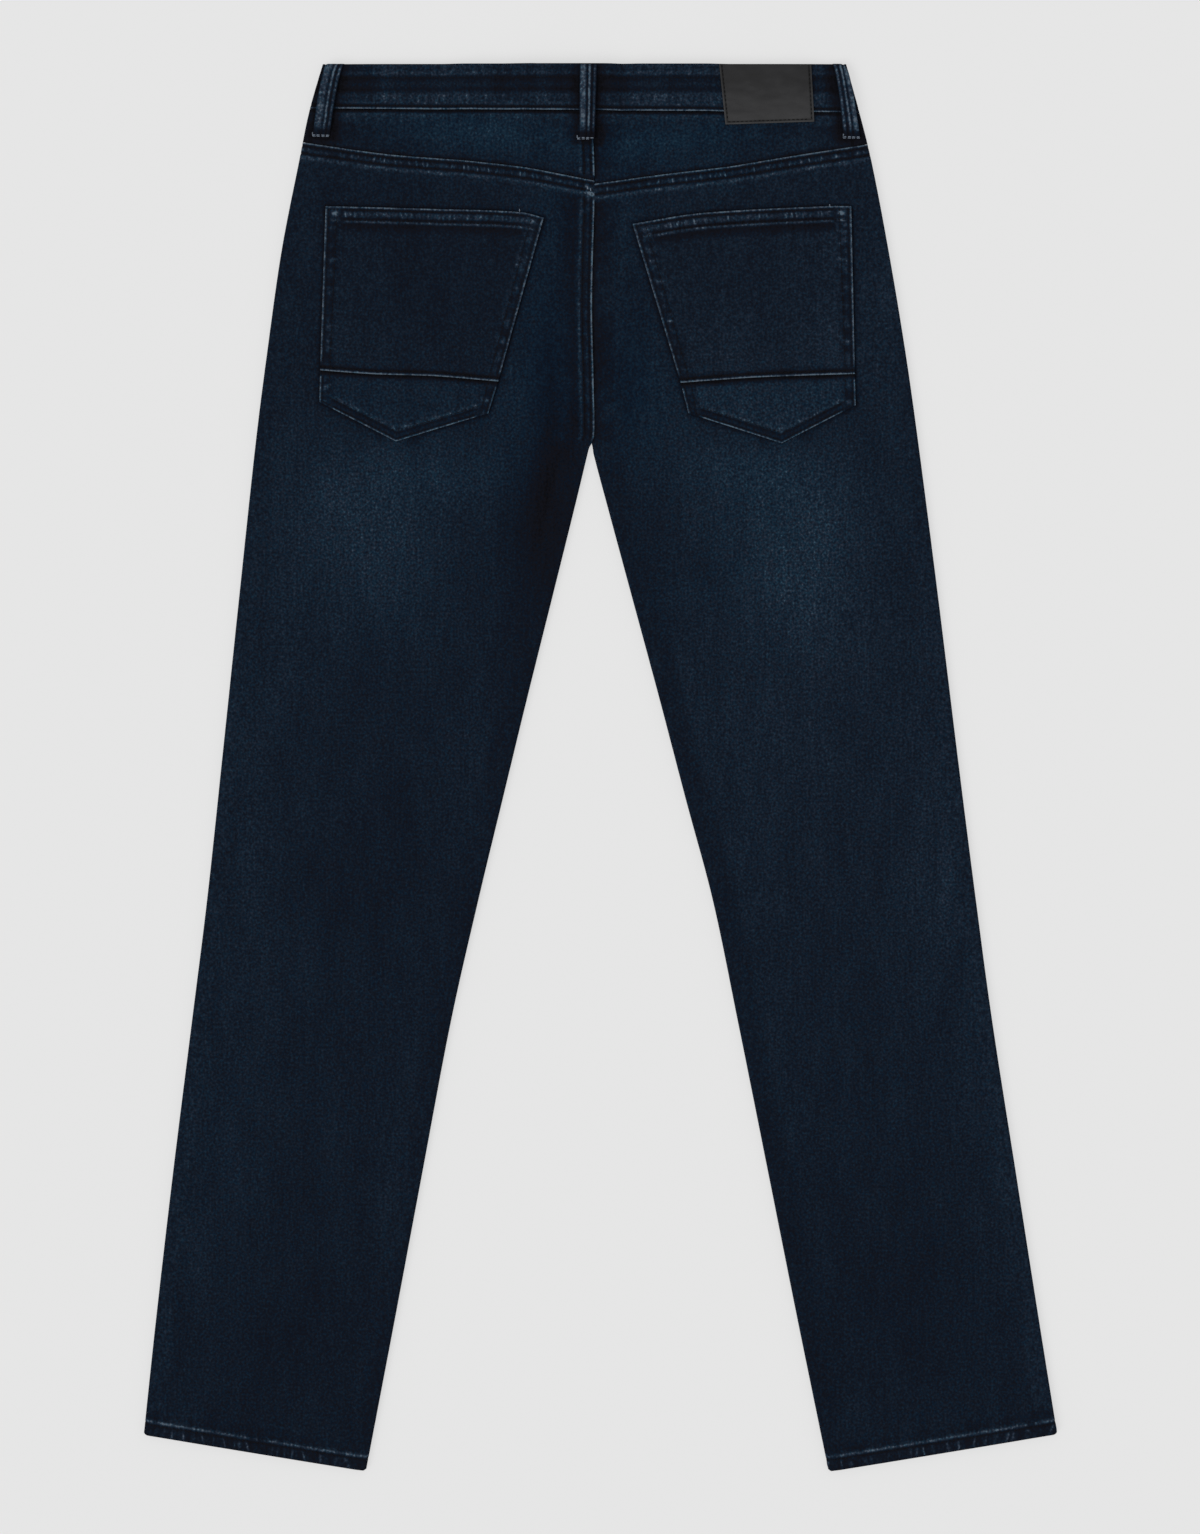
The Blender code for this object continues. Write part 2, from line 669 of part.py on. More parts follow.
def make_yoke(side):
    has_band = side == "left"

    def raise_at(place):
        return band_height(place.from_b) if has_band else 0.0

    rows = lay_piece(
        side_edge(side),
        back_inner_edge(side, flat),
        top=lambda x: waist_seam(x) - SEAM_GAP,
        bottom=lambda x: yoke_seam[side](x) + SEAM_GAP,
        levels=spread(0.0, 1.0, YOKE_ROWS),
        columns_a=fold_columns(ROLLED_ALL_ALONG) + plain_columns(BELOW_LOOP_COLUMNS),
        columns_b=plain_columns(SEAM_BAND_COLUMNS + YOKE_INNER_COLUMNS),
        middle=YOKE_MIDDLE_COLUMNS,
        facing=UP,
        face=lambda place: settle(place, back_top(place.x, place.y, side) + raise_at(place)),
        cloth=lambda place: CLOTH + raise_at(place),
    )
    wall_of_cloth(f"yoke_{side}", rows, "denim")


# ---- Front -----------------------------------------------------------------------------------
def front_levels(side):
    """Levels down a front piece: fly, seat, crotch, leg and hem."""
    length = front_waist_seam(CLOSURE_X) - HEMS[side].inseam.y
    crotch = (front_waist_seam(CLOSURE_X) - CROTCH_Y) / length
    levels = [drop / length for drop in FRONT_FLY_ROWS]
    levels += spread(levels[-1], crotch, FRONT_SEAT_ROWS)[1:]
    return levels + leg_levels(length, crotch, FRONT_LEG_ROWS)


def underlap_width(y):
    """How far the right front reaches under the fly."""
    return UNDERLAP * ease(FLY_FOOT_Y + FLY_FADE, FLY_FOOT_Y + 2 * FLY_FADE, y)


def make_front(side):
    def x_at(y):
        line = centre_front(y) if y > CROTCH_Y else inseam[side](y)
        if side == "right":
            line -= underlap_width(y)
        return line + away_from_centre(side) * SEAM_GAP / 2

    def face(place):
        height = front_lift(place.x, place.y)
        if side == "right" and place.y > CROTCH_Y:
            from_fly = place.x - centre_front(place.y)
            ramp = 1.0 - min(max((from_fly - SEAM_GAP) / UNDERLAP_RAMP, 0.0), 1.0)
            height += UNDERLAP_LIFT * ramp * ease(FLY_FOOT_Y, FLY_FOOT_Y + FLY_FADE - CROTCH_CLEAR, place.y)
        return height

    def cloth(place):
        in_hem = 1.0 - ease(HEM_DEPTH, HEM_DEPTH + SEAM_STEP, place.above_bottom)
        return mix(CLOTH, HEM_CLOTH, in_hem)

    rows = lay_piece(
        side_edge(side),
        Edge(x_at, away_from_centre(side), leg_fold),
        top=lambda x: front_pocket_mouth(side, x) - SEAM_GAP,
        bottom=lambda x: hem_line(side, x),
        levels=front_levels(side),
        columns_a=fold_columns(ROLLED_ALL_ALONG) + plain_columns(FRONT_SIDE_COLUMNS),
        columns_b=fold_columns(spread(0.0, UNDERLAP, len(FOLD_ANGLES))) + plain_columns(FRONT_INNER_COLUMNS),
        middle=1,
        facing=DOWN,
        face=face,
        cloth=cloth,
    )
    wall_of_cloth(f"front_{side}", rows, "denim")


def make_pocket_facing(side):
    """The cloth seen behind a front pocket's mouth."""
    inward = -away_from_centre(side)
    width = SCOOP_WIDTH + FACING_OVERLAP
    depth = SCOOP_DEPTH + FACING_OVERLAP
    corner_x = side_seam[side](WAIST_Y) + inward * CLOTH

    def outer_x(y):
        return side_seam[side](y) + inward * FACING_SET_IN

    def inner_x(_y):
        return corner_x + inward * (width - FACING_INNER_CUT)

    def bottom(x):
        share = min(abs(x - corner_x), width) / width
        return front_waist_seam(x) - depth * sqrt(1.0 - share * share)

    rows = lay_piece(
        Edge(outer_x, inward, flat),
        Edge(inner_x, -inward, flat),
        top=lambda x: front_waist_seam(x) - SEAM_GAP,
        bottom=bottom,
        levels=spread(0.0, 1.0, FACING_ROWS),
        columns_a=plain_columns(FACING_OUTER_COLUMNS),
        columns_b=plain_columns(FACING_INNER_COLUMNS),
        middle=1,
        facing=DOWN,
        face=lambda place: CLOTH + SEAM_GAP + front_lift(place.x, place.y, spare=FACING_LIFT_SPARE),
        cloth=lambda place: CLOTH,
    )
    wall_of_cloth(f"pocket_facing_{side}", rows, "denim_dark")


# ---- Waistband -------------------------------------------------------------------------------
def soften(place):
    """How far the face drops at the waistband's upper edge, which is a fold."""
    return EDGE_SOFTENING * (1.0 - ease(0.0, EDGE_SOFTENING_REACH, place.below_top))


def make_waistband_back():
    def face(place):
        ply_top = back_top(place.x, place.y, "left" if place.x < CROTCH_X else "right")
        return settle(place, ply_top + BAND_CLOTH - CLOTH) - soften(place)

    rows = lay_piece(
        side_edge("left"),
        side_edge("right"),
        top=lambda x: WAIST_Y,
        bottom=lambda x: waist_seam(x) + SEAM_GAP,
        levels=BAND_LEVELS,
        columns_a=fold_columns(ROLLED_ALL_ALONG) + plain_columns(BELOW_LOOP_COLUMNS),
        columns_b=fold_columns(ROLLED_ALL_ALONG) + plain_columns(BELOW_LOOP_COLUMNS),
        middle=BAND_MIDDLE_COLUMNS,
        facing=UP,
        face=face,
        cloth=lambda place: BAND_CLOTH - soften(place),
    )
    wall_of_cloth("waistband_back", rows, "denim")


def front_band_levels():
    """Rows either side of the buttonhole."""
    half = BUTTONHOLE / 2 / (WAIST_Y - waist_seam(BUTTON_X))
    return [*BAND_LEVELS[:2], 0.5 - half, 0.5 + half, 1.0]


def front_band_top(x):
    return WAIST_Y - front_drop(x)


def make_waistband_front_left():
    rows = lay_piece(
        side_edge("left"),
        Edge(lambda y: CLOSURE_X - SEAM_GAP / 2, -1, flat),
        top=front_band_top,
        bottom=lambda x: front_waist_seam(x) + SEAM_GAP,
        levels=front_band_levels(),
        columns_a=fold_columns(ROLLED_ALL_ALONG) + plain_columns(FRONT_BAND_SIDE_COLUMNS),
        columns_b=plain_columns(BUTTON_END_COLUMNS),
        middle=FRONT_BAND_MIDDLE_COLUMNS,
        facing=DOWN,
        face=lambda place: front_lift(place.x, place.y),
        cloth=lambda place: BAND_CLOTH - soften(place),
    )
    hole_row = 2
    hole_column = len(rows[0]) - 1 - BUTTON_END_COLUMNS.index(BUTTON_SETBACK + BUTTONHOLE / 2)
    wall_of_cloth("waistband_front_left", rows, "denim", openings=((hole_row, hole_column),))


def make_waistband_front_right():
    def face(place):
        past_left_end = place.from_b - BAND_UNDERLAP - SEAM_GAP
        ramp = 1.0 - min(max(past_left_end / UNDERLAP_RAMP, 0.0), 1.0)
        return front_lift(place.x, place.y) + BAND_UNDERLAP_LIFT * ramp

    rows = lay_piece(
        side_edge("right"),
        Edge(lambda y: CLOSURE_X - BAND_UNDERLAP, 1, flat),
        top=front_band_top,
        bottom=lambda x: front_waist_seam(x) + SEAM_GAP,
        levels=front_band_levels(),
        columns_a=fold_columns(ROLLED_ALL_ALONG) + plain_columns(FRONT_BAND_SIDE_COLUMNS),
        columns_b=plain_columns(UNDERLAP_END_COLUMNS),
        middle=FRONT_BAND_MIDDLE_COLUMNS,
        facing=DOWN,
        face=face,
        cloth=lambda place: BAND_CLOTH - soften(place),
    )
    wall_of_cloth("waistband_front_right", rows, "denim")


# ---- Things that lie on the back -------------------------------------------------------------
def backing(x, y):
    """Upper face of the waistband or yoke, with the step between them drawn out to a slope."""
    on_band = ease(waist_seam(x) - BACKING_SLOPE, waist_seam(x) - BACKING_SLOPE_END, y)
    return ply_face(x, y, (BAND_CLOTH - CLOTH) * on_band)


def centre_backing(x, y):
    """The same at the centre back, where the seam under the loop is as high as the waistband."""
    return ply_face(x, y, SEAM_RAISE)


def make_loop(loop, base, facing):
    """A belt loop: a strip sewn down at both ends. base(x, y) is the face it lies on."""
    rows = []
    for share in LOOP_LEVELS:
        y = mix(loop.top.y, loop.bottom.y, share)
        centre = mix(loop.top.x, loop.bottom.x, share)
        width = mix(loop.top_width, loop.bottom_width, share)
        arch = LOOP_ARCH * sin(pi * share) if facing == UP else 0.0
        end_drop = EDGE_SOFTENING if share in (0.0, 1.0) else 0.0
        row = []
        for strip in LOOP_PROFILE:
            x = centre + width * (strip.share - 0.5)
            under = base(x, y) + facing * (SEAM_GAP + arch)
            outer = under + facing * (LOOP_CLOTH - strip.below - end_drop)
            row.append(((x, y, outer), (x, y, under)))
        rows.append(row)
    wall_of_cloth(loop.name, rows, "denim")


def make_front_loop(name, x):
    """A belt loop under the front waistband, flat on the floor."""
    top = Spot(x, front_band_top(x) - SEAM_GAP)
    bottom = Spot(x, front_band_top(x) - LOOP_LENGTH)
    loop = Loop(name, top, bottom, LOOP_WIDTH, LOOP_WIDTH)
    make_loop(loop, lambda _x, _y: LOOP_CLOTH + SEAM_GAP, DOWN)


def along(spots):
    """A smooth line through spots, by the share of its width."""
    start = spots[0].x
    span = spots[-1].x - start
    line = smooth_curve([((spot.x - start) / span, spot.y) for spot in spots])
    return lambda share: Spot(start + span * share, line(share))


def pocket_shares(width, fixed=()):
    """Columns across a pocket: both margins, and evenly between them."""
    margin = POCKET_MARGIN / width
    step = (POCKET_MARGIN + SEAM_STEP) / width
    inside = spread(step, 1.0 - step, POCKET_COLUMNS)
    return sorted([0.0, margin, *inside, 1.0 - margin, 1.0, *fixed])


def pocket_rows(upper, lower, shares, levels, raise_at):
    rows = []
    for level in levels:
        row = []
        for share in shares:
            high = upper(share)
            low = lower(share)
            x = mix(high.x, low.x, level)
            y = mix(high.y, low.y, level)
            under = ply_face(x, y) + SEAM_GAP
            raised = raise_at(share, high.y - y, y - low.y)
            row.append(((x, y, under + CLOTH + raised), (x, y, under)))
        rows.append(row)
    return rows


def side_margin(share, width):
    """1 on a pocket's turned-in side edges, 0 inside them."""
    from_edge = min(share, 1.0 - share) * width
    return 1.0 - ease(POCKET_MARGIN, POCKET_MARGIN + SEAM_STEP, from_edge)


def make_pocket(side):
    pocket = POCKETS[side]
    mouth = along(pocket.mouth)
    seam = along(pocket.seam)
    width = abs(pocket.seam[-1].x - pocket.seam[0].x)

    def upper_raise(share, below_mouth, above_seam):
        hem = 1.0 - ease(POCKET_HEM, POCKET_HEM + SEAM_STEP, below_mouth)
        lap = 1.0 - ease(POCKET_LAP, POCKET_LAP + SEAM_STEP, above_seam)
        return MARGIN_RAISE * max(side_margin(share, width), hem, lap)

    length = abs(pocket.mouth[0].y - pocket.seam[0].y)
    levels = [0.0, POCKET_HEM / length, (POCKET_HEM + SEAM_STEP) / length]
    levels += spread(levels[-1], 1.0 - (POCKET_LAP + SEAM_STEP) / length, POCKET_ROWS)[1:]
    levels += [1.0 - POCKET_LAP / length, 1.0]
    rows = pocket_rows(mouth, seam, pocket_shares(width), levels, upper_raise)
    wall_of_cloth(f"pocket_{side}_upper", rows, "denim_dark")

    span = pocket.inner_foot.x - pocket.outer_foot.x
    tip_share = (pocket.tip.x - pocket.outer_foot.x) / span

    def foot(share):
        x = pocket.outer_foot.x + span * share
        if share < tip_share:
            return Spot(x, mix(pocket.outer_foot.y, pocket.tip.y, share / tip_share))
        return Spot(x, mix(pocket.tip.y, pocket.inner_foot.y, (share - tip_share) / (1.0 - tip_share)))

    def below_seam(share):
        spot = seam(share)
        return Spot(spot.x, spot.y - SEAM_GAP)

    def lower_raise(share, _below_seam, above_foot):
        foot_margin = 1.0 - ease(POCKET_MARGIN, POCKET_MARGIN + SEAM_STEP, above_foot)
        return MARGIN_RAISE * max(side_margin(share, width), foot_margin)

    foot_length = pocket.seam[0].y - pocket.outer_foot.y
    margin = POCKET_MARGIN / foot_length
    levels = [0.0, POCKET_FOOT_MIDDLE, 1.0 - margin - SEAM_STEP / foot_length, 1.0 - margin, 1.0]
    shares = pocket_shares(width, fixed=(tip_share,))
    rows = pocket_rows(below_seam, foot, shares, levels, lower_raise)
    wall_of_cloth(f"pocket_{side}_lower", rows, "denim_dark")


def between(start, end, share):
    return Spot(mix(start.x, end.x, share), mix(start.y, end.y, share))


def make_patch():
    """A leather patch that follows the waistband and hangs over its lower edge."""
    rows = []
    for down in spread(0.0, 1.0, PATCH_ROWS):
        left = between(PATCH_CORNERS["top_left"], PATCH_CORNERS["bottom_left"], down)
        right = between(PATCH_CORNERS["top_right"], PATCH_CORNERS["bottom_right"], down)
        row = []
        for across in spread(0.0, 1.0, PATCH_COLUMNS):
            x, y = between(left, right, across)
            under = backing(x, y) + PATCH_GAP
            row.append(((x, y, under + LEATHER), (x, y, under)))
        rows.append(row)
    wall_of_cloth("patch", rows, "leather")


# ---- Zip and button --------------------------------------------------------------------------
ZIP_BOTTOM = CLOTH + SEAM_GAP
ZIP_X = CLOSURE_X - UNDERLAP - SEAM_GAP - ZIP_WIDTH / 2 - ZIP_CLEAR


def make_zip():
    top_y = front_waist_seam(ZIP_X) - ZIP_TOP_CLEAR
    bottom_y = FLY_FOOT_Y + 2 * FLY_FADE
    chain = CHAIN_WIDTH / 2
    half_strips = ((ZIP_WIDTH / 2, 0.0), (chain + CHAIN_SLOPE, 0.0), (chain, CHAIN_RAISE))
    strips = [(-offset, raised) for offset, raised in half_strips] + list(reversed(half_strips))
    rows = []
    for y in spread(top_y, bottom_y, ZIP_ROWS):
        under = ZIP_BOTTOM + front_lift(ZIP_X, y, spare=BACK_LIFT_SPARE)
        row = []
        for offset, raised in strips:
            x = ZIP_X + offset
            row.append(((x, y, under + ZIP_TAPE + raised), (x, y, under)))
        rows.append(row)
    wall_of_cloth("zip", rows, "zip_tape")


def make_zip_slider():
    """The slider at the top of the closed zip, with its tab lying flat below it."""
    top_y = front_waist_seam(ZIP_X) - SLIDER_TOP_CLEAR
    rows = []
    for section in SLIDER_OUTLINE:
        y = top_y - SLIDER_LENGTH * section.down
        lift = front_lift(ZIP_X, y, spare=BACK_LIFT_SPARE)
        under = ZIP_BOTTOM + ZIP_TAPE + CHAIN_RAISE + SEAM_GAP + lift
        row = []
        for offset in (-0.5, 0.0, 0.5):
            x = ZIP_X + offset * section.width * SLIDER_WIDTH
            row.append(((x, y, under + SLIDER_THICKNESS), (x, y, under)))
        rows.append(row)
    wall_of_cloth("zip_slider", rows, "brass")


def make_button():
    """A turned tack button, face down on the floor, its shank through the buttonhole."""
    underlap = BAND_UNDERLAP_LIFT + front_lift(BUTTON_X, BUTTON_Y)
    profile = [(BUTTON_RADIUS * ring.share, ring.height) for ring in BUTTON_PROFILE]
    profile += [
        (SHANK_RADIUS * SHANK_FLARE, BUTTON_FACE),
        (SHANK_RADIUS, BUTTON_FACE + SHANK_FLARE_HEIGHT),
        (SHANK_RADIUS, underlap - SEAM_GAP),
    ]
    turn = [2 * pi * step / BUTTON_SEGMENTS for step in range(BUTTON_SEGMENTS)]
    shape = bmesh.new()
    rings = []
    for radius, height in profile:
        circle = [(BUTTON_X + radius * cos(angle), BUTTON_Y + radius * sin(angle), height) for angle in turn]
        rings.append([shape.verts.new(spot) for spot in circle])
    for lower, upper in zip(rings, rings[1:]):
        for step in range(BUTTON_SEGMENTS):
            after = (step + 1) % BUTTON_SEGMENTS
            shape.faces.new((lower[step], lower[after], upper[after], upper[step]))
    shape.faces.new(rings[0])
    shape.faces.new(rings[-1])
    bmesh.ops.recalc_face_normals(shape, faces=shape.faces)
    add_object("button", shape, "brass")


# ---- Build -----------------------------------------------------------------------------------
def clear_scene():
    for existing in list(bpy.data.objects):
        bpy.data.objects.remove(existing)


def make_material(name, finish):
    material = bpy.data.materials.new(name)
    material.use_nodes = True
    shader = material.node_tree.nodes["Principled BSDF"]
    shader.inputs["Base Color"].default_value = (*finish.colour, 1.0)
    shader.inputs["Roughness"].default_value = finish.roughness
    shader.inputs["Metallic"].default_value = finish.metallic
    return material


clear_scene()
materials = {name: make_material(name, finish) for name, finish in FINISHES.items()}
for half in ("left", "right"):
    make_back(half)
    make_yoke(half)
    make_pocket(half)
    make_front(half)
    make_pocket_facing(half)
make_waistband_back()
make_waistband_front_left()
make_waistband_front_right()
for back_loop in BACK_LOOPS:
    make_loop(back_loop, centre_backing if back_loop.name == "belt_loop_centre" else backing, UP)
for loop_name, loop_x in zip(("belt_loop_front_left", "belt_loop_front_right"), FRONT_LOOP_XS):
    make_front_loop(loop_name, loop_x)
make_patch()
make_zip()
make_zip_slider()
make_button()
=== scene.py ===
"""Looks of the straight leg jeans, laid flat on a floor with the seat uppermost.

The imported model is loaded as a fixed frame, and each of its solids is replaced by a finer shell of
cloth, leather or metal on the same form. Units are metres, +Z is up, +Y runs to the waist and +X
to the wearer's right. A table in millimetres says so. Of a piece's two edges, a is its outer or
left one and b its inner or right one.
"""

from collections import namedtuple
from math import cos, pi, radians, sin

import bpy
import numpy as np
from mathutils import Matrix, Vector
from mathutils.bvhtree import BVHTree


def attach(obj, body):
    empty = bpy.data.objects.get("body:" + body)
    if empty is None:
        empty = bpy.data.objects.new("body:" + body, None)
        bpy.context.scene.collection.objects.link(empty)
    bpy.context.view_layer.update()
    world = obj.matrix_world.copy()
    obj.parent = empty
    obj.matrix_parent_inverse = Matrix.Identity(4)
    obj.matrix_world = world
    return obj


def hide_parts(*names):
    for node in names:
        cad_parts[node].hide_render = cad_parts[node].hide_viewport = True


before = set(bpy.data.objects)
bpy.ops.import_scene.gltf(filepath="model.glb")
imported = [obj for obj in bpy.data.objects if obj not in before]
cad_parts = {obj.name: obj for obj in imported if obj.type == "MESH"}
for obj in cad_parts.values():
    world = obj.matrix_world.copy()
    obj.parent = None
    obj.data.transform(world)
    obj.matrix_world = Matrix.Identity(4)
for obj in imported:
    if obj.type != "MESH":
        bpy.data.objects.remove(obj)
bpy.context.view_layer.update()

MM = 0.001
UP = 1
DOWN = -1
SIDES = ("left", "right")
AWAY = {"left": -1, "right": 1}  # from the centre to a side, along X
Spot = namedtuple("Spot", "x y")

# ---- Cloth and seams, as in the CAD source ----------------------------------------------------
CLOTH = 0.0011
BAND_CLOTH = 0.0019
HEM_CLOTH = 0.0021
LOOP_CLOTH = 0.0016
LEATHER = 0.0012
SEAM_GAP = 0.0003
SEAM_BAND = 0.0105
SEAM_STEP = 0.0015
SEAM_RAISE = 0.0009
MARGIN_RAISE = 0.0006
EDGE_SOFTENING = 0.0005
EDGE_SOFTENING_REACH = 0.001
FOLD_RADIUS = 0.0025
ROLL_REACH = 0.018
SHARP_ANGLE = radians(40.0)
LEG_TOP = 0.0027
SEAT_RISE = 0.0015
SEAT_RISE_YS = (0.250, 0.380)
HEM_RISE = 0.0009
HEM_RISE_REACH = 0.045

# ---- Outline ---------------------------------------------------------------------------------
WAIST_Y = 0.5774
BACK_TOP_Y = 0.5770  # the raised upper edge at the back, drawn in a little for the view from above
CORNER_DROP = 0.0030
CORNER_REACH = 0.0055
CROTCH_X = -0.0074
CROTCH_Y = 0.2645
CROTCH_FOLD_LENGTH = 0.035
CROTCH_CLEAR = 0.001

# y, x on the left, x on the right
SIDE_SEAMS = (
    (0.5774, -0.2277, 0.2022), (0.5396, -0.2386, 0.2126), (0.4986, -0.2470, 0.2228),
    (0.4246, -0.2615, 0.2370), (0.3425, -0.2732, 0.2507), (0.2686, -0.2826, 0.2612),
    (0.1372, -0.2967, 0.2781), (0.0058, -0.3105, 0.2942), (-0.1092, -0.3228, 0.3088),
    (-0.2078, -0.3351, 0.3221), (-0.3310, -0.3505, 0.3413), (-0.4542, -0.3648, 0.3606),
    (-0.5483, -0.3748, 0.3757),
)
INSEAMS = (
    (CROTCH_Y, CROTCH_X, CROTCH_X), (0.2636, -0.0084, -0.0063), (0.2570, -0.0102, -0.0053),
    (0.2193, -0.0193, 0.0047), (0.1372, -0.0397, 0.0269), (0.0550, -0.0602, 0.0491),
    (-0.0271, -0.0801, 0.0706), (-0.1092, -0.0999, 0.0926), (-0.2078, -0.1222, 0.1130),
    (-0.3310, -0.1455, 0.1377), (-0.4542, -0.1686, 0.1623), (-0.5780, -0.1922, 0.1877),
)

Hem = namedtuple("Hem", "side inseam")
HEMS = {
    "left": Hem(Spot(-0.3748, -0.5483), Spot(-0.1922, -0.5783)),
    "right": Hem(Spot(0.3757, -0.5477), Spot(0.1877, -0.5787)),
}
HEM_DEPTH = 0.0120
HEM_CORNER = 0.0020
HEM_CORNER_REACH = 0.0038

# ---- Seams across the seat: x, y -------------------------------------------------------------
WAIST_SEAM = ((-0.2382, 0.5405), (-0.0160, 0.5384), (0.2115, 0.5372))
YOKE_SEAMS = {
    "left": ((-0.2435, 0.5126), (-0.1791, 0.5033), (-0.1158, 0.4978), (-0.0616, 0.4915), (-0.0033, 0.4807)),
    "right": ((-0.0008, 0.4789), (0.0506, 0.4857), (0.1010, 0.4919), (0.1511, 0.5002), (0.2191, 0.5109)),
}
CENTRE_BACK = (
    (-0.0066, 0.5384), (-0.0045, 0.4846), (-0.0066, 0.3811), (-0.0052, 0.3100), (-0.0049, 0.2720),
    (CROTCH_X, CROTCH_Y),
)

# ---- Front, closure and fly ------------------------------------------------------------------
CLOSURE_X = -0.0115
CENTRE_FRONT = ((CLOSURE_X, 0.5384), (CROTCH_X, CROTCH_Y))
FRONT_DROP = 0.012
FLY_WIDTH = 0.036
FLY_FOOT_Y = 0.380
FLY_FADE = 0.014
UNDERLAP = 0.012
UNDERLAP_LIFT = CLOTH + 0.0005
UNDERLAP_RAMP = 0.015
BAND_UNDERLAP = 0.040
BAND_UNDERLAP_LIFT = BAND_CLOTH + SEAM_GAP
CLOSURE_MARGIN = 0.004
CLOSURE_FADE = 0.028
CLOSURE_YS = (0.450, 0.515)

BUTTON_SETBACK = 0.015
BUTTON_RADIUS = 0.0085
BUTTON_FACE = 0.0015
SHANK_RADIUS = 0.0028
BUTTONHOLE = 0.0066

LIFT_FADE = 0.022
LIFT_FOOT_FADE = 0.045
BUTTON_LIFT_REACH = 0.018
LOOP_LIFT_REACH = 0.016
LOOP_LIFT_MARGIN = 0.005
BACK_LIFT_SHARE = 1.1
BACK_LIFT_SPARE = 0.010
FACING_LIFT_SPARE = 0.006

ZIP_WIDTH = 0.022
ZIP_TAPE = 0.0008
ZIP_CLEAR = 0.001
ZIP_TOP_CLEAR = 0.002
CHAIN_WIDTH = 0.006
CHAIN_RAISE = 0.0004
CHAIN_SLOPE = 0.001
TOOTH = (0.0030, 0.0009, 0.0003)  # width, length along the zip, height above the tape
TOOTH_PITCH = 0.0021
TOOTH_SHIFT = 0.0009  # teeth stand to one side of the middle and the other by turns
TEETH_END = 0.004
SLIDER_LENGTH = 0.018
SLIDER_WIDTH = 0.008
SLIDER_THICKNESS = 0.0010
SLIDER_TOP_CLEAR = 0.006

SCOOP_WIDTH = 0.105
SCOOP_DEPTH = 0.076
FACING_OVERLAP = 0.012
FACING_SET_IN = 2 * CLOTH
FACING_INNER_CUT = 0.010

# ---- Belt loops, pockets and patch -----------------------------------------------------------
Loop = namedtuple("Loop", "name top bottom top_width bottom_width bow")
CENTRE_LOOP = Loop(
    "belt_loop_centre", Spot(-0.0096, BACK_TOP_Y - 0.0012), Spot(-0.0106, 0.5150), 0.0142, 0.0126, 0.0
)
BACK_LOOPS = (
    Loop("belt_loop_left", Spot(-0.2176, BACK_TOP_Y), Spot(-0.2289, 0.5180), 0.0156, 0.0138, -0.0017),
    CENTRE_LOOP,
    Loop("belt_loop_right", Spot(0.1966, BACK_TOP_Y), Spot(0.2068, 0.5165), 0.0115, 0.0136, 0.0013),
)
LOOP_ARCH = 0.0013
LOOP_LENGTH = 0.060
LOOP_WIDTH = 0.0148
FRONT_LOOP_SPACING = 0.072

Pocket = namedtuple("Pocket", "mouth seam tip outer_foot inner_foot seed upper_tone lower_tone wash")
POCKETS = {
    "left": Pocket(
        mouth=((-0.2251, 0.4601), (-0.1400, 0.4578), (-0.0653, 0.4551), (-0.0462, 0.4506)),
        seam=((-0.2296, 0.3255), (-0.1848, 0.3223), (-0.1364, 0.3208), (-0.0836, 0.3164)),
        tip=Spot(-0.1675, 0.2673),
        outer_foot=Spot(-0.2303, 0.2996),
        inner_foot=Spot(-0.0917, 0.2903),
        seed=181,
        upper_tone=0.345,
        lower_tone=0.46,
        wash=0.02,
    ),
    "right": Pocket(
        mouth=((0.2061, 0.4601), (0.1875, 0.4601), (0.0821, 0.4542), (0.0267, 0.4455)),
        seam=((0.2090, 0.3226), (0.1264, 0.3196), (0.0663, 0.3153)),
        tip=Spot(0.1492, 0.2658),
        outer_foot=Spot(0.2098, 0.2970),
        inner_foot=Spot(0.0726, 0.2903),
        seed=201,
        upper_tone=0.42,
        lower_tone=0.54,
        wash=-0.03,
    ),
}
POCKET_MARGIN = 0.0085
POCKET_HEM = 0.0115
POCKET_LAP = 0.0025

PATCH_GAP = 0.0004
BACKING_SLOPE = 0.006
BACKING_SLOPE_END = 0.0005
PATCH_SIDES = (  # from the upper to the lower corner
    (Spot(0.0977, BACK_TOP_Y - 0.0004), Spot(0.1029, 0.5272)),
    (Spot(0.1733, BACK_TOP_Y - 0.0004), Spot(0.1758, 0.5296)),
)

# ---- Main creases: soft ridges and troughs of the back ----------------------------------------
LOFT = 0.0011  # the back stands this much above the flat ply, between its folds
LOFT_REACH = 0.030

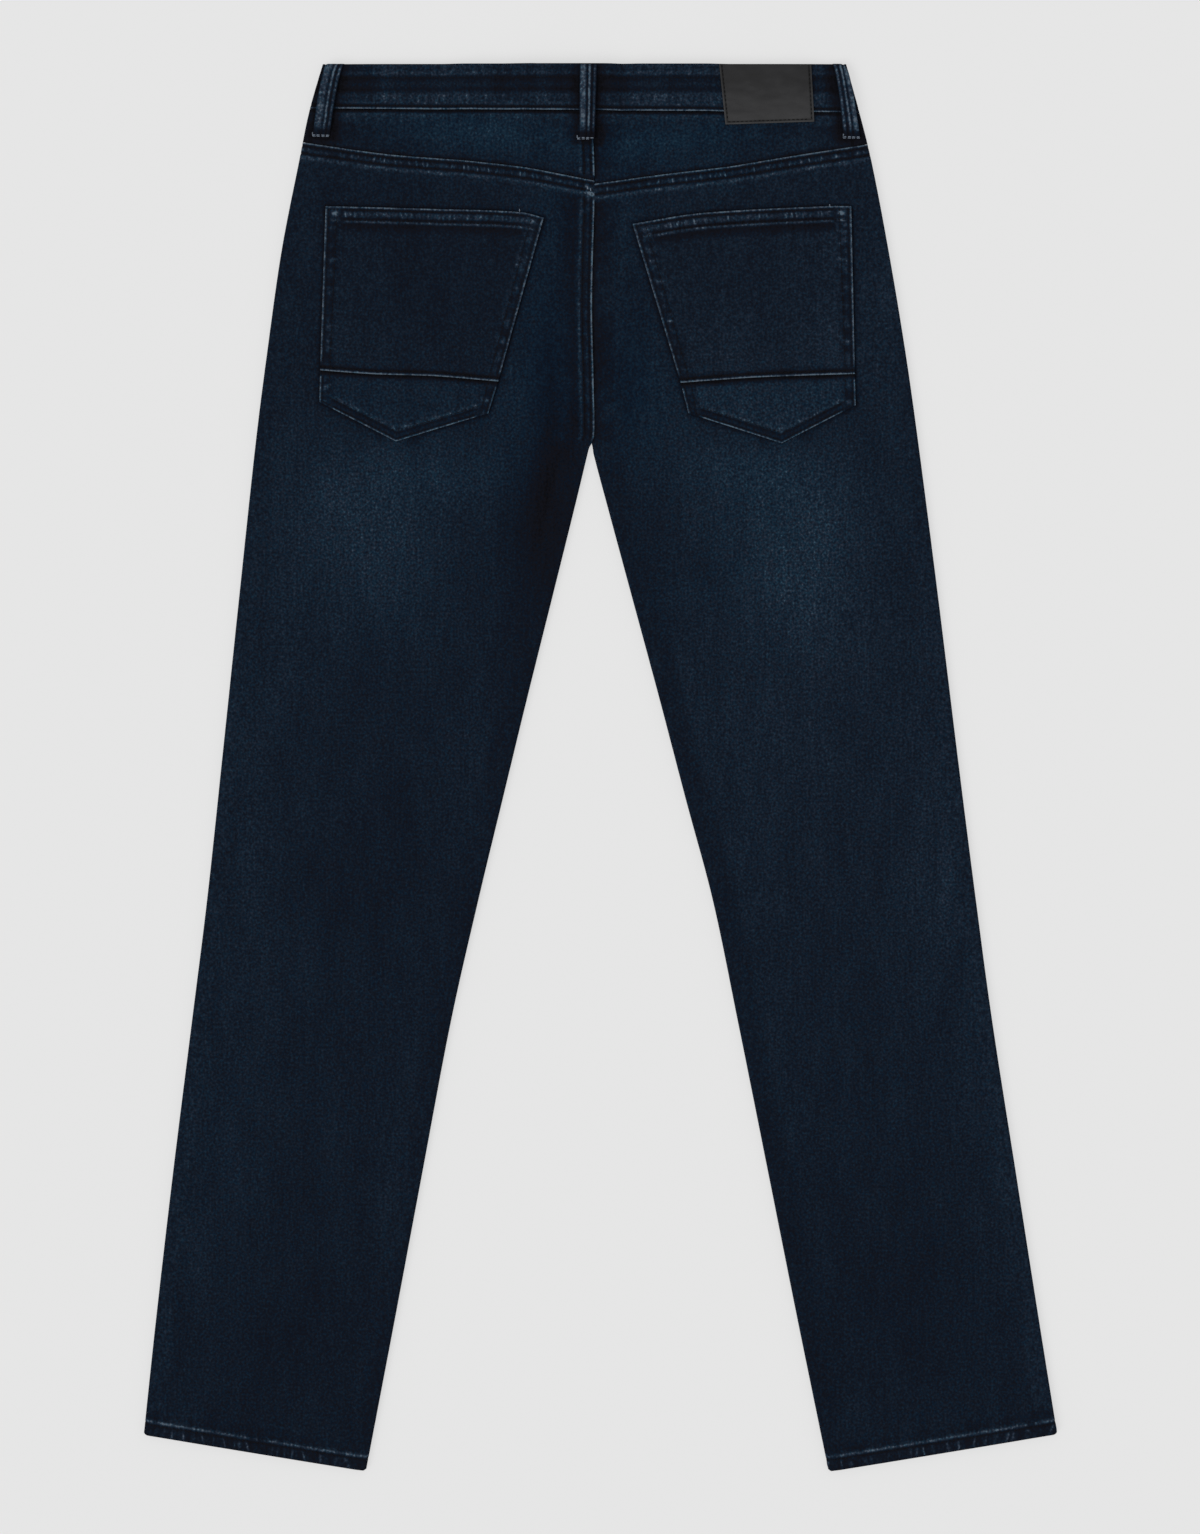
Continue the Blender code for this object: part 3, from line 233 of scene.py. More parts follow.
# mm and degrees: x, y, length, width, turn, bend (a share), height
CREASES = (
    # left leg
    (-215, 238, 60, 10, 14, 0.1, 0.6), (-120, 216, 85, 13, -8, 0.12, -0.5),
    (-190, 178, 70, 12, 6, -0.1, 0.5), (-105, 150, 55, 11, -16, 0.1, 0.5),
    (-235, 108, 48, 15, 22, 0, -0.4), (-130, 30, 65, 17, -12, 0.08, 0.5),
    (-225, -45, 52, 14, 10, 0.1, -0.6), (-170, -82, 75, 15, -6, -0.12, 0.7),
    (-250, -120, 45, 13, 18, 0, 0.4), (-205, -230, 22, 130, -12, 0, 0.5),
    (-300, -330, 18, 120, -8, 0, 0.4), (-240, -470, 60, 17, -5, 0.1, -0.4),
    # right leg
    (60, 208, 65, 12, 22, 0.12, 0.6), (150, 228, 70, 11, -10, -0.1, -0.5),
    (120, 166, 80, 13, 14, 0.1, 0.6), (215, 120, 45, 15, -20, 0, -0.5),
    (100, 70, 60, 16, 8, 0.1, 0.4), (170, 10, 50, 18, -14, 0, -0.4),
    (190, -65, 70, 14, 6, 0.12, 0.7), (130, -105, 48, 15, 16, 0, -0.5),
    (240, -150, 45, 14, -12, 0.1, 0.4), (225, -290, 20, 125, 12, 0, 0.5),
    (300, -420, 18, 100, 9, 0, 0.4), (250, -500, 55, 15, 6, -0.1, -0.4),
    # seat
    (-62, 380, 14, 70, 10, 0, 0.5), (45, 350, 14, 65, -12, 0, 0.5),
    (-245, 400, 12, 80, -9, 0, -0.4), (228, 390, 12, 80, 9, 0, -0.4),
    (30, 282, 40, 10, -34, 0, 0.5), (-45, 280, 40, 10, 32, 0, 0.4),
)

# ---- Tones of the denim: 0 is darkest, 1 is worn white ----------------------------------------
BASE_TONE = 0.40
BASE_WASH = 0.05
REVERSE_TONE = 0.72
# painted shade: the dark tone of each piece's cut walls, and of the hidden undersides of pockets and loops
EDGE_SHADE_TONE = 0.10
# the lowest tone that the painted shadow beside the belt loops reaches
DARKEST_TONE = 0.06  # beside the belt loops

# mm and degrees: x, y, width, height, turn; then how much tone and blue wash it adds
FADES_AND_SHADE = (
    # left leg
    (-178, 196, 62, 66, 0, 0.16, 0.25), (-131, 244, 78, 29, 0, 0.08, 0.30),
    (-236, 205, 44, 85, 6, 0.08, 0.05), (-66, 293, 33, 37, 0, 0.05, 0.30),
    (-49, 384, 21, 74, 0, 0.02, 0.25), (-164, 129, 49, 41, 0, 0.04, 0.10),
    (-271, 63, 37, 74, 0, 0.07, 0.05), (-290, -75, 24, 130, 8, 0.07, 0.00),
    # the darkening marks beside the left inseam, x from -34 to -70 mm, are painted shade near the inseam
    (-308, -330, 37, 100, 8, 0.04, 0.10), (-49, 137, 21, 107, -14, -0.12, 0.00),
    (-47, 225, 18, 60, -14, -0.14, 0.00), (-111, 0, 26, 75, -13, 0.05, 0.00),
    (-164, -68, 50, 57, 0, -0.04, 0.00), (-158, -345, 13, 80, -10, 0.14, 0.00),
    (-34, 205, 14, 55, -14, -0.14, 0.00), (-70, 205, 22, 55, -14, -0.06, 0.15),
    (-302, -200, 12, 60, 8, 0.05, 0.00), (-332, -395, 14, 90, 8, 0.05, 0.00),
    (-250, -470, 90, 100, -4, -0.06, 0.00),
    # right leg
    (160, 130, 120, 210, 0, 0.09, 0.00), (136, 203, 57, 49, 30, 0.07, 0.35),
    (160, 145, 37, 49, 0, 0.05, 0.20), (182, 165, 36, 70, -10, 0.08, 0.10),
    (115, 244, 66, 25, 0, 0.05, 0.30), (41, 289, 37, 41, -20, 0.05, 0.30),
    (74, 145, 57, 10, 12, 0.05, 0.20), (78, 30, 14, 110, 14, 0.04, 0.00),
    (267, -27, 10, 156, -7, 0.05, 0.00), (318, -180, 16, 120, -9, 0.07, 0.00),
    (131, -27, 33, 123, 0, 0.03, 0.10), (140, -235, 16, 80, 10, 0.06, 0.00),
    (262, -90, 40, 110, -8, 0.04, 0.00), (290, -85, 18, 110, -9, 0.06, 0.00),
    (318, -395, 20, 90, -9, 0.06, 0.00), (115, 240, 50, 30, 0, 0.05, 0.00),
    (42, 172, 18, 60, 14, -0.06, 0.05), (262, -455, 90, 90, 6, -0.06, 0.00),
    (232, 384, 18, 80, -6, 0.08, 0.00),
    # seat and yoke
    (-33, 449, 25, 33, 0, 0.03, 0.40), (21, 441, 16, 49, 0, 0.03, 0.30),
    (-40, 330, 30, 60, 0, -0.02, 0.55), (28, 330, 22, 60, 0, -0.02, 0.50),
    (-99, 522, 82, 20, -5, 0.20, 0.90), (60, 515, 80, 21, 8, 0.16, 0.85),
    (85, 485, 50, 10, 6, 0.10, 0.30), (98, 494, 16, 20, 0, 0.08, 0.10),
    (226, 500, 14, 24, 0, 0.06, 0.00), (165, 509, 34, 10, 8, 0.10, 0.10),
    (-180, 474, 50, 18, 0, -0.05, 0.10), (-38, 275, 17, 120, 0, -0.15, 0.15),
    (22, 300, 14, 50, 0, -0.08, 0.10), (288, -70, 9, 80, -8, 0.08, 0.00),
    (286, 200, 10, 70, -8, 0.09, 0.00), (-199, -112, 26, 36, 0, -0.06, 0.00),
    (96, 158, 24, 16, 0, -0.07, 0.00), (190, -20, 80, 120, -9, 0.01, -0.20),
)
# drawn over the seams: worn knots and puckers
SMUDGES = (
    (-10, 473.8, 1.8, 4, 20, 0.70, 0.20), (-6.4, 470.4, 2, 2.8, -15, 0.60, 0.20),
    (-12.2, 456.4, 3.6, 1, 20, 0.55, 0.20), (-9, 465, 1.2, 1.8, 0, 0.30, 0.20),
)

# tones across the seams: mm from the seam's edge, and tone
YOKE_SEAM_TONES = (
    (0.0, 0.94), (0.9, 0.87), (1.5, 0.36), (2.2, 0.12), (3.1, 0.12), (3.8, 0.28), (4.6, 0.44),
    (5.8, 0.55), (6.8, 0.52), (7.5, 0.26), (8.2, 0.10), (9.0, 0.12), (9.6, 0.28), (10.4, 0.60),
    (11.5, 0.70), (13.0, 0.54), (14.8, 0.40), (17.0, 0.36),
)
# painted shade: dark just above the yoke seam, under its step
ABOVE_YOKE_SEAM_TONES = ((0.0, 0.08), (1.2, 0.20), (2.4, 0.32), (4.0, 0.44))
# painted shadow: dark just under the waistband's lower edge
BELOW_WAIST_SEAM_TONES = (
    (0.0, 0.02), (1.4, 0.05), (2.4, 0.36), (3.4, 0.58), (4.6, 0.54), (7.0, 0.48), (12.0, 0.46),
)
CENTRE_BACK_TONES = (
    (0.0, 0.94), (1.0, 0.88), (1.6, 0.40), (2.2, 0.08), (3.0, 0.10), (4.2, 0.42), (6.0, 0.40),
    (7.2, 0.14), (8.4, 0.08), (9.3, 0.34), (10.3, 0.60), (11.5, 0.50), (13.0, 0.28), (15.0, 0.22),
    (20.0, 0.27), (34.0, 0.38),
)
YOKE_CENTRE_TONES = (
    (0.0, 0.94), (1.0, 0.88), (1.6, 0.44), (2.2, 0.10), (3.0, 0.10), (4.2, 0.44), (5.8, 0.48),
    (7.0, 0.36), (7.8, 0.10), (8.8, 0.08), (9.8, 0.42), (11.0, 0.68), (12.4, 0.56), (14.5, 0.38),
)
# painted shadow on the right half, beside the felled centre seam
BESIDE_CENTRE_BACK_TONES = ((0.0, 0.06), (1.8, 0.12), (3.4, 0.26), (12.0, 0.33), (22.0, 0.40))
# the darker stretch just past the hem's pale ridge, near 15 mm, is painted shadow
HEM_TONES = (
    (0.0, 0.22), (1.0, 0.36), (3.2, 0.40), (6.0, 0.38), (7.6, 0.34), (8.4, 0.20), (9.4, 0.20),
    (10.2, 0.44), (10.9, 0.80), (12.1, 0.82), (13.0, 0.48), (14.6, 0.31), (19.0, 0.34),
    (25.0, 0.37),
)
# down the waistband from its top edge: stitch rows and worn ridges, with a painted highlight on the top fold
# and painted shade in the troughs between the ridges
WAISTBAND_TONES = (
    (0.0, 0.46), (1.2, 0.52), (3.0, 0.44), (5.5, 0.44), (6.8, 0.54), (8.2, 0.58), (9.0, 0.48),
    (10.2, 0.26), (12.2, 0.20), (14.0, 0.26), (16.6, 0.36), (18.6, 0.32), (20.8, 0.18),
    (22.0, 0.22), (24.0, 0.44), (25.5, 0.54), (27.0, 0.52), (29.0, 0.50), (60.0, 0.50),
)
WAISTBAND_FOOT_TONES = (
    (0.0, 0.96), (0.8, 0.94), (1.3, 0.44), (1.9, 0.10), (2.8, 0.08), (3.6, 0.32), (4.8, 0.57),
    (7.4, 0.52),
)
POCKET_SIDE_TONES = (
    (0.0, 0.86), (0.9, 0.78), (1.5, 0.38), (2.1, 0.14), (2.9, 0.26), (4.2, 0.40), (5.8, 0.38),
    (6.9, 0.30), (7.5, 0.20), (8.1, 0.30), (9.2, 0.44), (11.0, 0.42), (13.0, 0.40),
)
# the dark band below the hem's lower pale line, from 13 to 24 mm, is painted shade
POCKET_MOUTH_TONES = (
    (0.0, 0.90), (0.9, 0.84), (1.5, 0.38), (2.2, 0.06), (3.1, 0.12), (4.0, 0.56), (5.8, 0.64),
    (7.6, 0.58), (8.8, 0.30), (9.6, 0.06), (10.5, 0.10), (11.3, 0.66), (12.4, 0.70), (13.4, 0.30),
    (14.4, 0.14), (16.4, 0.20), (20.0, 0.30), (24.0, 0.36),
)
POCKET_SEAM_TONES = (
    (0.0, 0.98), (0.9, 0.94), (1.4, 0.40), (2.1, 0.08), (3.4, 0.10), (4.8, 0.32), (7.0, 0.42),
)
# painted shadow under the lap of the pocket's cross seam
BELOW_POCKET_SEAM_TONES = ((0.0, 0.00), (1.3, 0.02), (2.2, 0.16), (3.4, 0.34), (5.2, 0.44))
POCKET_FOOT_TONES = (
    (0.0, 0.98), (0.8, 0.90), (1.3, 0.34), (2.1, 0.10), (3.2, 0.32), (4.4, 0.38), (5.6, 0.30),
    (6.8, 0.14), (7.6, 0.30), (8.4, 0.62), (10.0, 0.68), (11.6, 0.60), (14.0, 0.48),
)
# lighter outer edges of the legs: wear on the rolled fold, with a painted highlight
SIDE_TONES = {
    "left": ((0.0, 0.44), (3.0, 0.49), (9.0, 0.48), (18.0, 0.45)),
    "right": ((0.0, 0.46), (3.0, 0.50), (9.0, 0.49), (18.0, 0.46)),
}
# painted shade: darker beside the folded inseam
INSEAM_TONES = ((0.0, 0.34), (2.0, 0.28), (12.0, 0.30), (24.0, 0.38))

# across a belt loop: share of its width, and tone
LOOP_TONES = {
    "belt_loop_left": (
        (0.00, 0.40), (0.04, 0.60), (0.10, 0.78), (0.30, 0.80), (0.38, 0.70), (0.45, 0.50),
        (0.50, 0.30), (0.54, 0.60), (0.59, 1.00), (0.64, 0.92), (0.70, 0.30), (0.76, 0.10),
        (0.81, 0.30), (0.86, 0.74), (0.93, 0.72), (0.98, 0.30), (1.00, 0.16),
    ),
    "belt_loop_centre": (
        (0.00, 0.20), (0.05, 0.70), (0.12, 0.84), (0.30, 0.84), (0.37, 0.70), (0.44, 0.20),
        (0.49, 0.24), (0.55, 1.00), (0.63, 0.94), (0.70, 0.14), (0.76, 0.08), (0.82, 0.44),
        (0.89, 0.82), (0.95, 0.46), (1.00, 0.12),
    ),
    "belt_loop_right": (
        (0.00, 0.16), (0.06, 0.66), (0.13, 0.84), (0.20, 0.60), (0.27, 0.18), (0.33, 0.22),
        (0.40, 0.60), (0.46, 0.98), (0.53, 0.90), (0.59, 0.40), (0.65, 0.36), (0.72, 0.72),
        (0.84, 0.92), (0.95, 0.88), (1.00, 0.50),
    ),
}
# down a belt loop: share of its length, and how much of the tone above stays; the dip near the foot is
# painted shade above the bar tack
LOOP_DOWN = (
    (0.00, 0.96), (0.06, 1.04), (0.14, 0.98), (0.30, 0.90), (0.50, 0.96), (0.72, 1.02),
    (0.84, 0.96), (0.89, 0.70), (0.92, 0.34), (0.96, 0.28), (1.00, 0.40),
)
# across a belt loop: share of its width, and how far the face lies below the ridge
LOOP_BELOW = ((0.00, 0.0006), (0.08, 0.0), (0.54, 0.0), (0.66, 0.0005), (0.84, 0.0001), (1.00, 0.0006))
# painted shadow beside each belt loop
LOOP_SHADE = (0.34, 0.0070)  # how dark the cloth gets beside a loop, and how far out
# painted shadow close around each back pocket: how dark, and how far out
POCKET_SHADE = (0.24, 0.0021)

# ---- Stitches and puckers --------------------------------------------------------------------
Thread = namedtuple("Thread", "radius pitch length")
SEAM_THREAD = Thread(0.00024, 0.0032, 0.0023)
PATCH_THREAD = Thread(0.0003, 0.0035, 0.0024)
TACK_THREAD = Thread(0.00042, 0.0037, 0.0029)
PUCKER_MEAN = 0.22
PUCKER_TONE = 0.42 / 0.00022  # how much lighter a pucker is for its height
GROOVE_DEPTH = 0.00022
GROOVE_WIDTH = 0.0007

CENTRE_STITCHES = (0.0021, 0.0084)  # from the seam's edge
HEM_STITCH = 0.0090
WAISTBAND_STITCHES = (0.0028, 0.0114)  # above its lower edge; below its upper edge
PATCH_STITCH = 0.00205
FLY_STITCHES = (0.0, 0.0064)

# spacing to height are those of a seam's puckers, start and end being distances from its edge;
# rough is how uneven its tones are
Seam = namedtuple("Seam", "tones stitches spacing start end height rough even thin", defaults=(1.0, 0.0, 1.0))
YOKE_SEAM = Seam(
    YOKE_SEAM_TONES, (0.0024, 0.0086), 0.0050, 0.0034, 0.0078, 0.00036, rough=0.35, thin=0.6
)
CENTRE_SEAM = Seam(CENTRE_BACK_TONES, CENTRE_STITCHES, 0.0060, 0.003, 0.007, 0.00018, rough=0.55)
YOKE_CENTRE_SEAM = CENTRE_SEAM._replace(tones=YOKE_CENTRE_TONES)
HEM_SEAM = Seam(HEM_TONES, (HEM_STITCH,), 0.0085, 0.0010, 0.0080, 0.00034, rough=0.7, thin=0.55)
FRONT_HEM_SEAM = Seam(HEM_TONES, (HEM_STITCH,), 0.0085, 0.0014, 0.0078, 0.00024, thin=0.6)
WAIST_FOOT_SEAM = Seam(
    WAISTBAND_FOOT_TONES, WAISTBAND_STITCHES[:1], 0.0066, 0.0055, 0.0130, 0.00012, rough=0.6, even=0.7
)
POCKET_SIDE_SEAM = Seam(
    POCKET_SIDE_TONES, (0.0018, 0.0078), 0.0095, 0.0030, 0.0075, 0.00020, rough=0.4
)
POCKET_MOUTH_SEAM = Seam(
    POCKET_MOUTH_TONES, (0.0026, 0.0112), 0.0048, 0.0036, 0.0088, 0.00027, rough=0.4, thin=0.6
)
SCOOP_SEAM = Seam(POCKET_MOUTH_TONES, POCKET_MOUTH_SEAM.stitches, 0.009, 0.0030, 0.0110, 0.00015)
POCKET_CROSS_SEAM = Seam(POCKET_SEAM_TONES, (0.0030,), 0.010, 0.0008, 0.0040, 0.00006, rough=0.5)
POCKET_FOOT_SEAM = Seam(
    POCKET_FOOT_TONES, POCKET_SIDE_SEAM.stitches, 0.0080, 0.0070, 0.0115, 0.00012, rough=0.6
)


# ---- Small maths -----------------------------------------------------------------------------
def mix(start, end, share):
    return start + (end - start) * share


def ease(low, high, value):
    """0 at low, 1 at high, smooth between them."""
    share = np.clip((value - low) / (high - low), 0.0, 1.0)
    return share * share * (3.0 - 2.0 * share)


def fall(low, high, value):
    """1 at low, 0 at high, smooth between them."""
    return 1.0 - ease(low, high, value)


def hump(distance, width):
    """1 at no distance, falling away over a width."""
    return np.exp(-((distance / width) ** 2))


def at_marks(position, marks):
    """The value at a position, straight between marks of (position, value)."""
    return np.interp(position, *np.transpose(marks))


def grid(x, y, z):
    return np.stack([x, y, z], axis=-1)


def smooth_curve(points):
    """A smooth function through (position, value) points, straight past both ends."""
    at, values = np.transpose(sorted(points))
    last = len(at) - 1
    before = np.maximum(np.arange(last + 1) - 1, 0)
    after = np.minimum(np.arange(last + 1) + 1, last)
    slopes = (values[after] - values[before]) / (at[after] - at[before])

    def value_at(position):
        held = np.clip(position, at[0], at[last])
        index = np.clip(np.searchsorted(at, held, side="right") - 1, 0, last - 1)
        span = at[index + 1] - at[index]
        t = (held - at[index]) / span
        inside = (
            (2 * t**3 - 3 * t**2 + 1) * values[index]
            + (t**3 - 2 * t**2 + t) * span * slopes[index]
            + (3 * t**2 - 2 * t**3) * values[index + 1]
            + (t**3 - t**2) * span * slopes[index + 1]
        )
        return inside + (position - held) * np.where(position < at[0], slopes[0], slopes[last])

    return value_at


def graded(*stretches):
    """Positions from 0 along stretches of (end, step)."""
    positions = [0.0]
    for end, step in stretches:
        count = max(1, round((end - positions[-1]) / step))
        positions += list(np.linspace(positions[-1], end, count + 1)[1:])
    return np.array(positions)


def uneven(run, seed, spacing=0.006):
    """A smooth random value from 0 to 1 along a seam."""
    draw = np.random.default_rng(seed)
    low = run.min()
    marks = draw.uniform(0.0, 1.0, int((run.max() - low) / spacing) + 3)
    steps = (run - low) / spacing
    index = steps.astype(int)
    return mix(marks[index], marks[index + 1], ease(0.0, 1.0, steps - index))


def puckers(run, across, seed, spacing, start, end, even=0.0, thin=1.0):
    """Heights, from about -0.2 to 1, of the small uneven folds that cross a seam."""
    draw = np.random.default_rng(seed)
    position, high = run.min(), run.max()
    total = np.zeros(np.broadcast(run, across).shape)
    while position < high:
        position += spacing * mix(draw.uniform(0.5, 1.6), 1.0, even)
        height = mix(draw.uniform(0.25, 1.0), 0.8, even)
        width = thin * spacing * draw.uniform(0.14, 0.28)
        slant = draw.uniform(-0.35, 0.35)
        total += height * hump(run - position - slant * (across - start), width)
    soft = (end - start) * 0.3
    envelope = ease(start - soft, start + soft, across) * fall(end - soft, end + soft, across)
    return (total - PUCKER_MEAN * thin) * envelope


def groove(distance, place):
    """Depth of the dent that a row of stitches pulls into the cloth."""
    return GROOVE_DEPTH * hump(distance - place, GROOVE_WIDTH)


def marks_at(rows, x, y):
    """For each mark of a table, where points lie in its own frame, and its other columns."""
    for mark_x, mark_y, wide, tall, turn, *rest in rows:
        off_x, off_y = x - mark_x * MM, y - mark_y * MM
        turn = radians(turn)
        along = (off_x * cos(turn) + off_y * sin(turn)) / (wide * MM)
        across = (off_y * cos(turn) - off_x * sin(turn)) / (tall * MM)
        yield along, across, wide / tall, rest


def away_from(x, y, start, end):
    """Distance of points from the straight line between two spots."""
    run_x, run_y = end[0] - start[0], end[1] - start[1]
    share = np.clip(((x - start[0]) * run_x + (y - start[1]) * run_y) / (run_x**2 + run_y**2), 0, 1)
    return np.hypot(x - start[0] - share * run_x, y - start[1] - share * run_y)


def between(start, end, share):
    return Spot(mix(start.x, end.x, share), mix(start.y, end.y, share))


# ---- Lines of the garment, as functions ------------------------------------------------------
def side_lines(rows):
    """A line for each side, from rows of y and the x on each side."""
    return {side: smooth_curve([(row[0], row[1 + i]) for row in rows]) for i, side in enumerate(SIDES)}


side_seam = side_lines(SIDE_SEAMS)
inseam = side_lines(INSEAMS)
waist_seam = smooth_curve(WAIST_SEAM)
yoke_seam = {side: smooth_curve(spots) for side, spots in YOKE_SEAMS.items()}
centre_back = smooth_curve([(y, x) for x, y in CENTRE_BACK])
centre_front = smooth_curve([(y, x) for x, y in CENTRE_FRONT])


def hem_line(side, x):
    hem = HEMS[side]
    share = (x - hem.side.x) / (hem.inseam.x - hem.side.x)
    line = mix(hem.side.y, hem.inseam.y, share)
    from_corner = np.minimum(abs(x - hem.side.x), abs(x - hem.inseam.x))
    return line + HEM_CORNER * np.maximum(0.0, 1.0 - from_corner / HEM_CORNER_REACH) ** 2


def back_top_line(x):
    """Upper edge of the waistband at the back, with rounded corners."""
    from_corner = np.minimum(x - side_seam["left"](BACK_TOP_Y), side_seam["right"](BACK_TOP_Y) - x)
    return BACK_TOP_Y - CORNER_DROP * np.clip(1.0 - from_corner / CORNER_REACH, 0.0, 1.0) ** 2


def front_top_line(x):
    """Upper edge of the waistband at the front, which hangs below the back's in the middle."""
    left, right = side_seam["left"](WAIST_Y), side_seam["right"](WAIST_Y)
    return WAIST_Y - FRONT_DROP * np.maximum(0.0, 1.0 - ((2 * x - left - right) / (right - left)) ** 2)


def front_waist_seam(x):
    return front_top_line(x) - (WAIST_Y - waist_seam(x))


def front_pocket_mouth(side, x):
    from_side = abs(x - side_seam[side](front_waist_seam(x)))
    share = np.minimum(from_side / SCOOP_WIDTH, 1.0)
    return front_waist_seam(x) - SCOOP_DEPTH * np.sqrt(1.0 - share * share)


def along(spots):
    """The place on a line through spots, by the share of its width."""
    start, span = spots[0][0], spots[-1][0] - spots[0][0]
    line = smooth_curve([((x - start) / span, y) for x, y in spots])
    return lambda share: Spot(start + span * share, line(share))


def pocket_shape(pocket):
    """The pocket's mouth, cross seam and pointed foot by the share of its width, and that width."""
    start, span = pocket.outer_foot, pocket.inner_foot.x - pocket.outer_foot.x
    tip_share = (pocket.tip.x - start.x) / span

    def foot(share):
        outer = mix(start.y, pocket.tip.y, share / tip_share)
        inner = mix(pocket.tip.y, pocket.inner_foot.y, (share - tip_share) / (1.0 - tip_share))
        return Spot(start.x + span * share, np.where(share < tip_share, outer, inner))

    width = abs(pocket.seam[-1][0] - pocket.seam[0][0])
    return along(pocket.mouth), along(pocket.seam), foot, tip_share, width


def pocket_shade(side, x, y):
    """Painted shadow: how much darker the cloth is close beside a pocket."""
    pocket = POCKETS[side]
    corners = list(zip(*along(pocket.mouth)(np.linspace(0.0, 1.0, 9))))
    corners += [pocket.seam[-1], pocket.inner_foot, pocket.tip, pocket.outer_foot, pocket.seam[0]]
    outline = zip(corners, corners[1:] + corners[:1])
    nearest = np.min([away_from(x, y, start, end) for start, end in outline], axis=0)
    dark, reach = POCKET_SHADE
    return dark * hump(nearest, reach)


# ---- What lies under the front and lifts it ---------------------------------------------------
BUTTON_X = CLOSURE_X - BUTTON_SETBACK
BUTTON_Y = float(front_top_line(BUTTON_X) + front_waist_seam(BUTTON_X)) / 2
FRONT_LOOP_XS = (CLOSURE_X - FRONT_LOOP_SPACING, CLOSURE_X + FRONT_LOOP_SPACING)
LOOP_LIFT_Y = front_top_line(FRONT_LOOP_XS[0]) - LOOP_LENGTH - LOOP_LIFT_MARGIN

Lift = namedtuple("Lift", "x reach height foot_y")
LIFTS = [Lift(BUTTON_X, BUTTON_LIFT_REACH, BUTTON_FACE + SEAM_GAP, front_waist_seam(BUTTON_X))]
LIFTS += [Lift(x, LOOP_LIFT_REACH, LOOP_CLOTH + 2 * SEAM_GAP, LOOP_LIFT_Y) for x in FRONT_LOOP_XS]


def front_lift(x, y, spare=0.0):
    highest = 0.0
    for lift in LIFTS:
        across = fall(lift.reach + spare, lift.reach + spare + LIFT_FADE, abs(x - lift.x))
        along_y = ease(lift.foot_y - spare - LIFT_FOOT_FADE, lift.foot_y - spare, y)
        highest = np.maximum(highest, lift.height * across * along_y)
    return highest


def closure_rise(x, y):
    left_end = CLOSURE_X - BAND_UNDERLAP - CLOSURE_MARGIN
    right_end = CLOSURE_X + UNDERLAP_RAMP
    across = ease(left_end - CLOSURE_FADE, left_end, x) - ease(right_end, right_end + CLOSURE_FADE, x)
    return BAND_CLOTH * across * ease(*CLOSURE_YS, y)


def back_top(x, y):
    """Upper face of a single flat ply of the back, away from its folds."""
    top = LEG_TOP + SEAT_RISE * ease(*SEAT_RISE_YS, y)
    top = top + closure_rise(x, y) + BACK_LIFT_SHARE * front_lift(x, y, BACK_LIFT_SPARE)
    above_hem = y - np.where(x < CROTCH_X, hem_line("left", x), hem_line("right", x))
    return top + HEM_RISE * fall(HEM_DEPTH + SEAM_STEP, HEM_RISE_REACH, above_hem)


# points of a piece: their distances from its edges, and how far those edges are folded
Place = namedtuple("Place", "x y from_a from_b below_top above_bottom fold_a fold_b")


def settle(place, flat_height):
    """Raise a flat height towards the folds beside it."""
    near_a = place.fold_a * hump(np.maximum(place.from_a - FOLD_RADIUS, 0.0), ROLL_REACH)
    near_b = place.fold_b * hump(np.maximum(place.from_b - FOLD_RADIUS, 0.0), ROLL_REACH)
    return mix(flat_height, 2 * FOLD_RADIUS, np.maximum(near_a, near_b))


def creases(x, y):
    total = 0.0
    for along_it, across, slimness, (bend, height) in marks_at(CREASES, x, y):
        across = across + bend * slimness * along_it**2
        total = total + height * MM * np.exp(-(along_it**2) - across**2)
    return total


def loft(place):
    """How far the back stands above its flat ply, between its folds."""
    open_a = 1.0 - place.fold_a * hump(place.from_a, LOFT_REACH)
    open_b = 1.0 - place.fold_b * hump(place.from_b, LOFT_REACH)
    return open_a * open_b * np.maximum(LOFT + creases(place.x, place.y), 0.0)


def front_creases(place):
    """Creases of the legs' fronts, which push their pressed ply up off the floor."""
    between_edges = (1.0 - hump(place.from_a, LOFT_REACH)) * (1.0 - hump(place.from_b, LOFT_REACH))
    height = 0.6 * np.maximum(creases(-place.x, place.y + 0.02), 0.0)
    return height * between_edges * fall(0.27, 0.33, place.y)


def ply_face(x, y, raised=0.0):
    """Upper face of the back at the seat."""
    from_left = np.maximum(x - side_seam["left"](y), 0.0)
    from_right = np.maximum(side_seam["right"](y) - x, 0.0)
    place = Place(x, y, from_left, from_right, 0.0, 0.0, 1.0, 1.0)
    return settle(place, back_top(x, y) + raised) + loft(place)


# ---- Tones -----------------------------------------------------------------------------------
def loop_middle(loop, level):
    """Where a loop's middle line runs, bowed most near its upper end."""
    return mix(loop.top.x, loop.bottom.x, level) + loop.bow * np.sin(pi * np.clip(level, 0.0, 1.0) ** 0.6)


def loop_shade(x, y):
    """Painted shadow beside the belt loops: darker cloth close to each loop's sides."""
    dark, reach = LOOP_SHADE
    shade = 0.0
    for loop in BACK_LOOPS:
        level = (loop.top.y - y) / (loop.top.y - loop.bottom.y)
        outside = np.maximum(abs(x - loop_middle(loop, level)) - loop.bottom_width / 2, 0.0)
        shade = np.maximum(shade, dark * fall(1.03, 1.12, level) * hump(outside, reach))
    return shade


